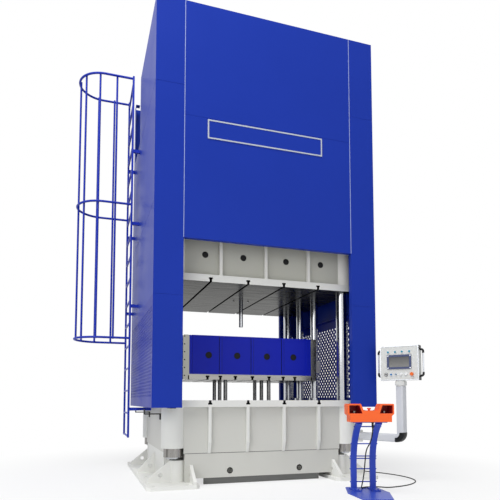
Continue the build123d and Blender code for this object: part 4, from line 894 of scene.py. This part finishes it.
def tube_along(centres, radius, sides=20):
    """Carry a circle along a path: each ring is the path's point plus a circle square to the path.

    The path's two end points come twice, so that a smaller ring can narrow each end.
    """
    tangents = np.gradient(centres[1:-1], axis=0)
    tangents = np.concatenate([tangents[:1], tangents, tangents[-1:]])
    side = np.cross(tangents, outward)
    side /= np.linalg.norm(side, axis=1)[:, None]
    angle = np.linspace(0, 2 * math.pi, sides, endpoint=False)[None, :, None]
    circle = np.cos(angle) * side[:, None] + np.sin(angle) * outward
    rings = centres[:, None] + radius[:, None, None] * circle
    return rings.reshape(-1, 3), grid_faces(len(centres), sides, wrap=True)


turn = np.linspace(0, math.pi / 2, 9)
run_out = np.concatenate([[0.001], handle_out + handle_bend * (np.sin(turn) - 1), [handle_out]])
run_up = np.concatenate([[0.0], handle_bend * (1 - np.cos(turn)), [handle_sleeve]])
run_out, run_up = (np.pad(run, 1, mode="edge") for run in (run_out, run_up))
radius = np.concatenate([[pole], np.full(len(turn) + 2, elbow_r), [handle_r]])
elbows = []
for s, t in four_signs:
    path = np.stack([s * (box_w / 2 + run_out), np.full(len(run_out), -box_d / 2),
                     t * (handle_half - run_up)], axis=-1)
    elbows.append(tube_along(along_box(path), radius))
mesh_piece("handle_elbows", *joined(elbows), black_plastic, "panel", "gland_black", smooth=True)
print("elbows", len(elbows))

# %% Cap of the arm's elbow
bend_r = 0.060
arm_half = 0.0465
arm_edge = 0.019
skirt = 0.004
overlap = math.radians(4)
sweep_steps = 17
pivot = np.array(joints["arm_swivel"]["pos_m"])
arm_run = math.hypot(*(post - pivot)[:2])
arm_way = np.array([*(post - pivot)[:2], 0.0]) / arm_run
arm_side = np.cross(upward, arm_way)
bend_centre = pivot + arm_way * (arm_run - bend_r) + upward * bend_r
corner = np.linspace(0, math.pi / 2, 6)
flat = arm_half - arm_edge
climb = flat + arm_edge * np.sin(corner)
spread = flat + arm_edge * np.cos(corner)
rise = np.concatenate([[-skirt, flat], climb[1:], [arm_half], climb[::-1][1:], [-skirt]])
wide = np.concatenate([[-arm_half, -arm_half], -spread[1:], [0.0], spread[::-1][1:], [arm_half]])
sweep = np.linspace(-overlap, math.pi / 2 + overlap, sweep_steps)
outwards = np.sin(sweep)[:, None] * arm_way - np.cos(sweep)[:, None] * upward
points = (bend_centre + (bend_r + rise)[None, :, None] * outwards[:, None]
          + wide[None, :, None] * arm_side)
elbow_cap = mesh_piece("arm_elbow_cap", points.reshape(-1, 3), grid_faces(sweep_steps, len(rise)),
                       black_plastic, "arm", "gland_black", smooth=True)
thickness = elbow_cap.modifiers.new("thickness", "SOLIDIFY")
thickness.thickness = 0.002
thickness.offset = 0.0
print("arm's bend at", bend_centre.round(3))

# %% [markdown]
# ## Linings of the hand pockets
#
# The two hooded pockets of the console are lined in red, so a hand in the wrong place is seen. Each
# lining is six thin plates inside the pocket: a rectangle and a triangle for the back, and one each
# for the outer side, the sloped inner side, the roof and the floor.
# They are set out in the console's own directions, which run from one palm button to the other. Two
# small screws hold the ridge between the pockets.

# %% Pocket linings
palm_a = middle("palm_left")
palm_b = middle("palm_right")
yoke_x = (palm_b - palm_a) / np.linalg.norm(palm_b - palm_a)
yoke_out = np.cross(yoke_x, upward)
yoke_mid = (palm_a + palm_b) / 2
yoke_mid[2] = 0.0
yoke_half_w = 0.230
yoke_half_d = 0.080
yoke_wall = 0.014
lip = 0.001
crest = 0.114
slope_foot = 0.086
skin = 0.002
floor_z = 0.800
roof_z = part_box("console_yoke")[1].z - yoke_wall
outer = yoke_half_w - yoke_wall
back = -yoke_half_d + yoke_wall
front = yoke_half_d - lip


def in_yoke(points):
    """Turn points of (across, out towards the operator, up) into the frame."""
    return yoke_mid + np.asarray(points, float) @ np.stack([yoke_x, yoke_out, upward])


def slab(corners, offset):
    """A thin plate on four corners, thickened by an offset."""
    faces = np.array([[0, 3, 2, 1], [4, 5, 6, 7], [0, 1, 5, 4],
                      [1, 2, 6, 5], [2, 3, 7, 6], [3, 0, 4, 7]])
    return in_yoke(np.concatenate([corners, np.add(corners, offset)])), faces


linings = []
for s in (-1, 1):
    low_out, low_mid, low_in = [(s * x, floor_z) for x in (outer, crest, slope_foot)]
    high_out, high_in = [(s * x, roof_z) for x in (outer, crest)]
    for plate in ((low_out, low_mid, high_in, high_out), (low_in, low_mid, high_in, high_in)):
        linings.append(slab([(x, back, z) for x, z in plate], (0, skin, 0)))
    for (x0, z0), (x1, z1), offset in ((low_out, high_out, (-s * skin, 0, 0)),
                                       (low_in, high_in, (s * skin, 0, 0))):
        corners = [(x0, back, z0), (x0, front, z0), (x1, front, z1), (x1, back, z1)]
        linings.append(slab(corners, offset))
    for (x0, z0), (x1, z1), offset in ((high_in, high_out, (0, 0, -skin)),
                                       (low_in, low_out, (0, 0, skin))):
        corners = [(x0, back, z0), (x1, back, z1), (x1, front, z1), (x0, front, z0)]
        linings.append(slab(corners, offset))
mesh_piece("pocket_linings", *joined(linings), red_lining, "frame", "stop_red")

ridge_level = 0.828
ridge_out = 0.030
ridge_profile = [(0.0, pole), (0.0, 0.0080), (0.0052, 0.0080), (0.0064, 0.0066), (0.0064, 0.0042),
                 (0.0048, 0.0040), (0.0048, pole)]
ridge_feet = in_yoke([(x, ridge_out, ridge_level) for x in (-0.052, 0.040)])
ridge_screws = [turned_shape(ridge_profile, foot, foot + upward, sides=16) for foot in ridge_feet]
mesh_piece("yoke_cover_screws", *joined(ridge_screws), turned, "frame", "palm_steel")
print("lining walls", len(linings))

# %% [markdown]
# ## The cable
#
# A round rubber cable leaves the console's gland, hangs along the legs, passes over the base plate
# and lies on the floor in one wide curve before it rises to the bed. Its line is a NURBS spline, and
# the chosen points of the route are its control points.

# %% Cable route
cable_d = 0.012
stand_at = (0.797, -1.752)
stand_turn = math.radians(-16.0)
plate_level = 0.017
floor_level = 0.0065


def by_stand(x, y, z):
    """A point of the stand's own frame, turned and moved to where the stand is."""
    return (stand_at[0] + x * math.cos(stand_turn) - y * math.sin(stand_turn),
            stand_at[1] + x * math.sin(stand_turn) + y * math.cos(stand_turn), z)


down_the_legs = [(0.016, -0.336, 0.686), (0.016, -0.336, 0.600), (0.013, -0.240, 0.500),
                 (0.010, -0.090, 0.420), (0.008, -0.052, 0.290), (-0.006, -0.056, 0.165),
                 (-0.025, -0.058, 0.075)]
over_the_plate = [(-0.026, -0.010), (0.020, 0.072), (0.110, 0.086), (0.188, 0.082)]
on_the_floor = [(1.100, -1.742), (1.225, -1.725), (1.380, -1.680), (1.530, -1.590), (1.655, -1.462),
                (1.722, -1.300), (1.738, -1.125), (1.715, -0.955), (1.660, -0.795), (1.584, -0.640),
                (1.494, -0.490), (1.422, -0.352)]
up_to_the_bed = [(1.390, -0.262, 0.052), (1.318, -0.200, 0.060), (1.288, -0.184, 0.130),
                 (1.283, -0.181, 0.250), (1.281, -0.180, 0.379), (1.230, -0.180, 0.430),
                 (1.160, -0.180, 0.430)]
route = ([by_stand(*point) for point in down_the_legs]
         + [by_stand(x, y, plate_level) for x, y in over_the_plate]
         + [(x, y, floor_level) for x, y in on_the_floor] + up_to_the_bed)
print("route points", len(route))

# %% Cable curve
cable_curve = bpy.data.curves.new("console_lead", "CURVE")
cable_curve.dimensions = "3D"
cable_curve.bevel_depth = cable_d / 2
cable_curve.bevel_resolution = 3
cable_curve.resolution_u = 12
spline = cable_curve.splines.new("NURBS")
spline.points.add(len(route) - 1)
spline.points.foreach_set("co", np.array([(*point, 1.0) for point in route], np.float32).ravel())
spline.order_u = 3
spline.use_endpoint_u = True
cable_curve.materials.append(rubber)
cable = bpy.data.objects.new("console_lead", cable_curve)
bpy.context.scene.collection.objects.link(cable)
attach(cable, "frame")
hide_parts("console_cable")
print("cable curve made")

# %% [markdown]
# ## Strain reliefs
#
# Where the cable leaves the console and where it enters the bed, a tapered rubber sleeve keeps it from
# kinking. It is 30 mm long: a cone turned about the cable's end run.

# %% Strain reliefs
sleeve = [(0.0, 0.0062), (0.0, 0.0118), (0.004, 0.0118), (0.006, 0.0108), (0.028, 0.0088),
          (0.030, 0.0080), (0.030, 0.0062), (0.0, 0.0062)]
reliefs = [turned_shape(sleeve, route[0], route[1]), turned_shape(sleeve, route[-1], route[-2])]
mesh_piece("strain_reliefs", *joined(reliefs), rubber, "frame", "gland_black", smooth=True)
print("sleeves", len(reliefs))
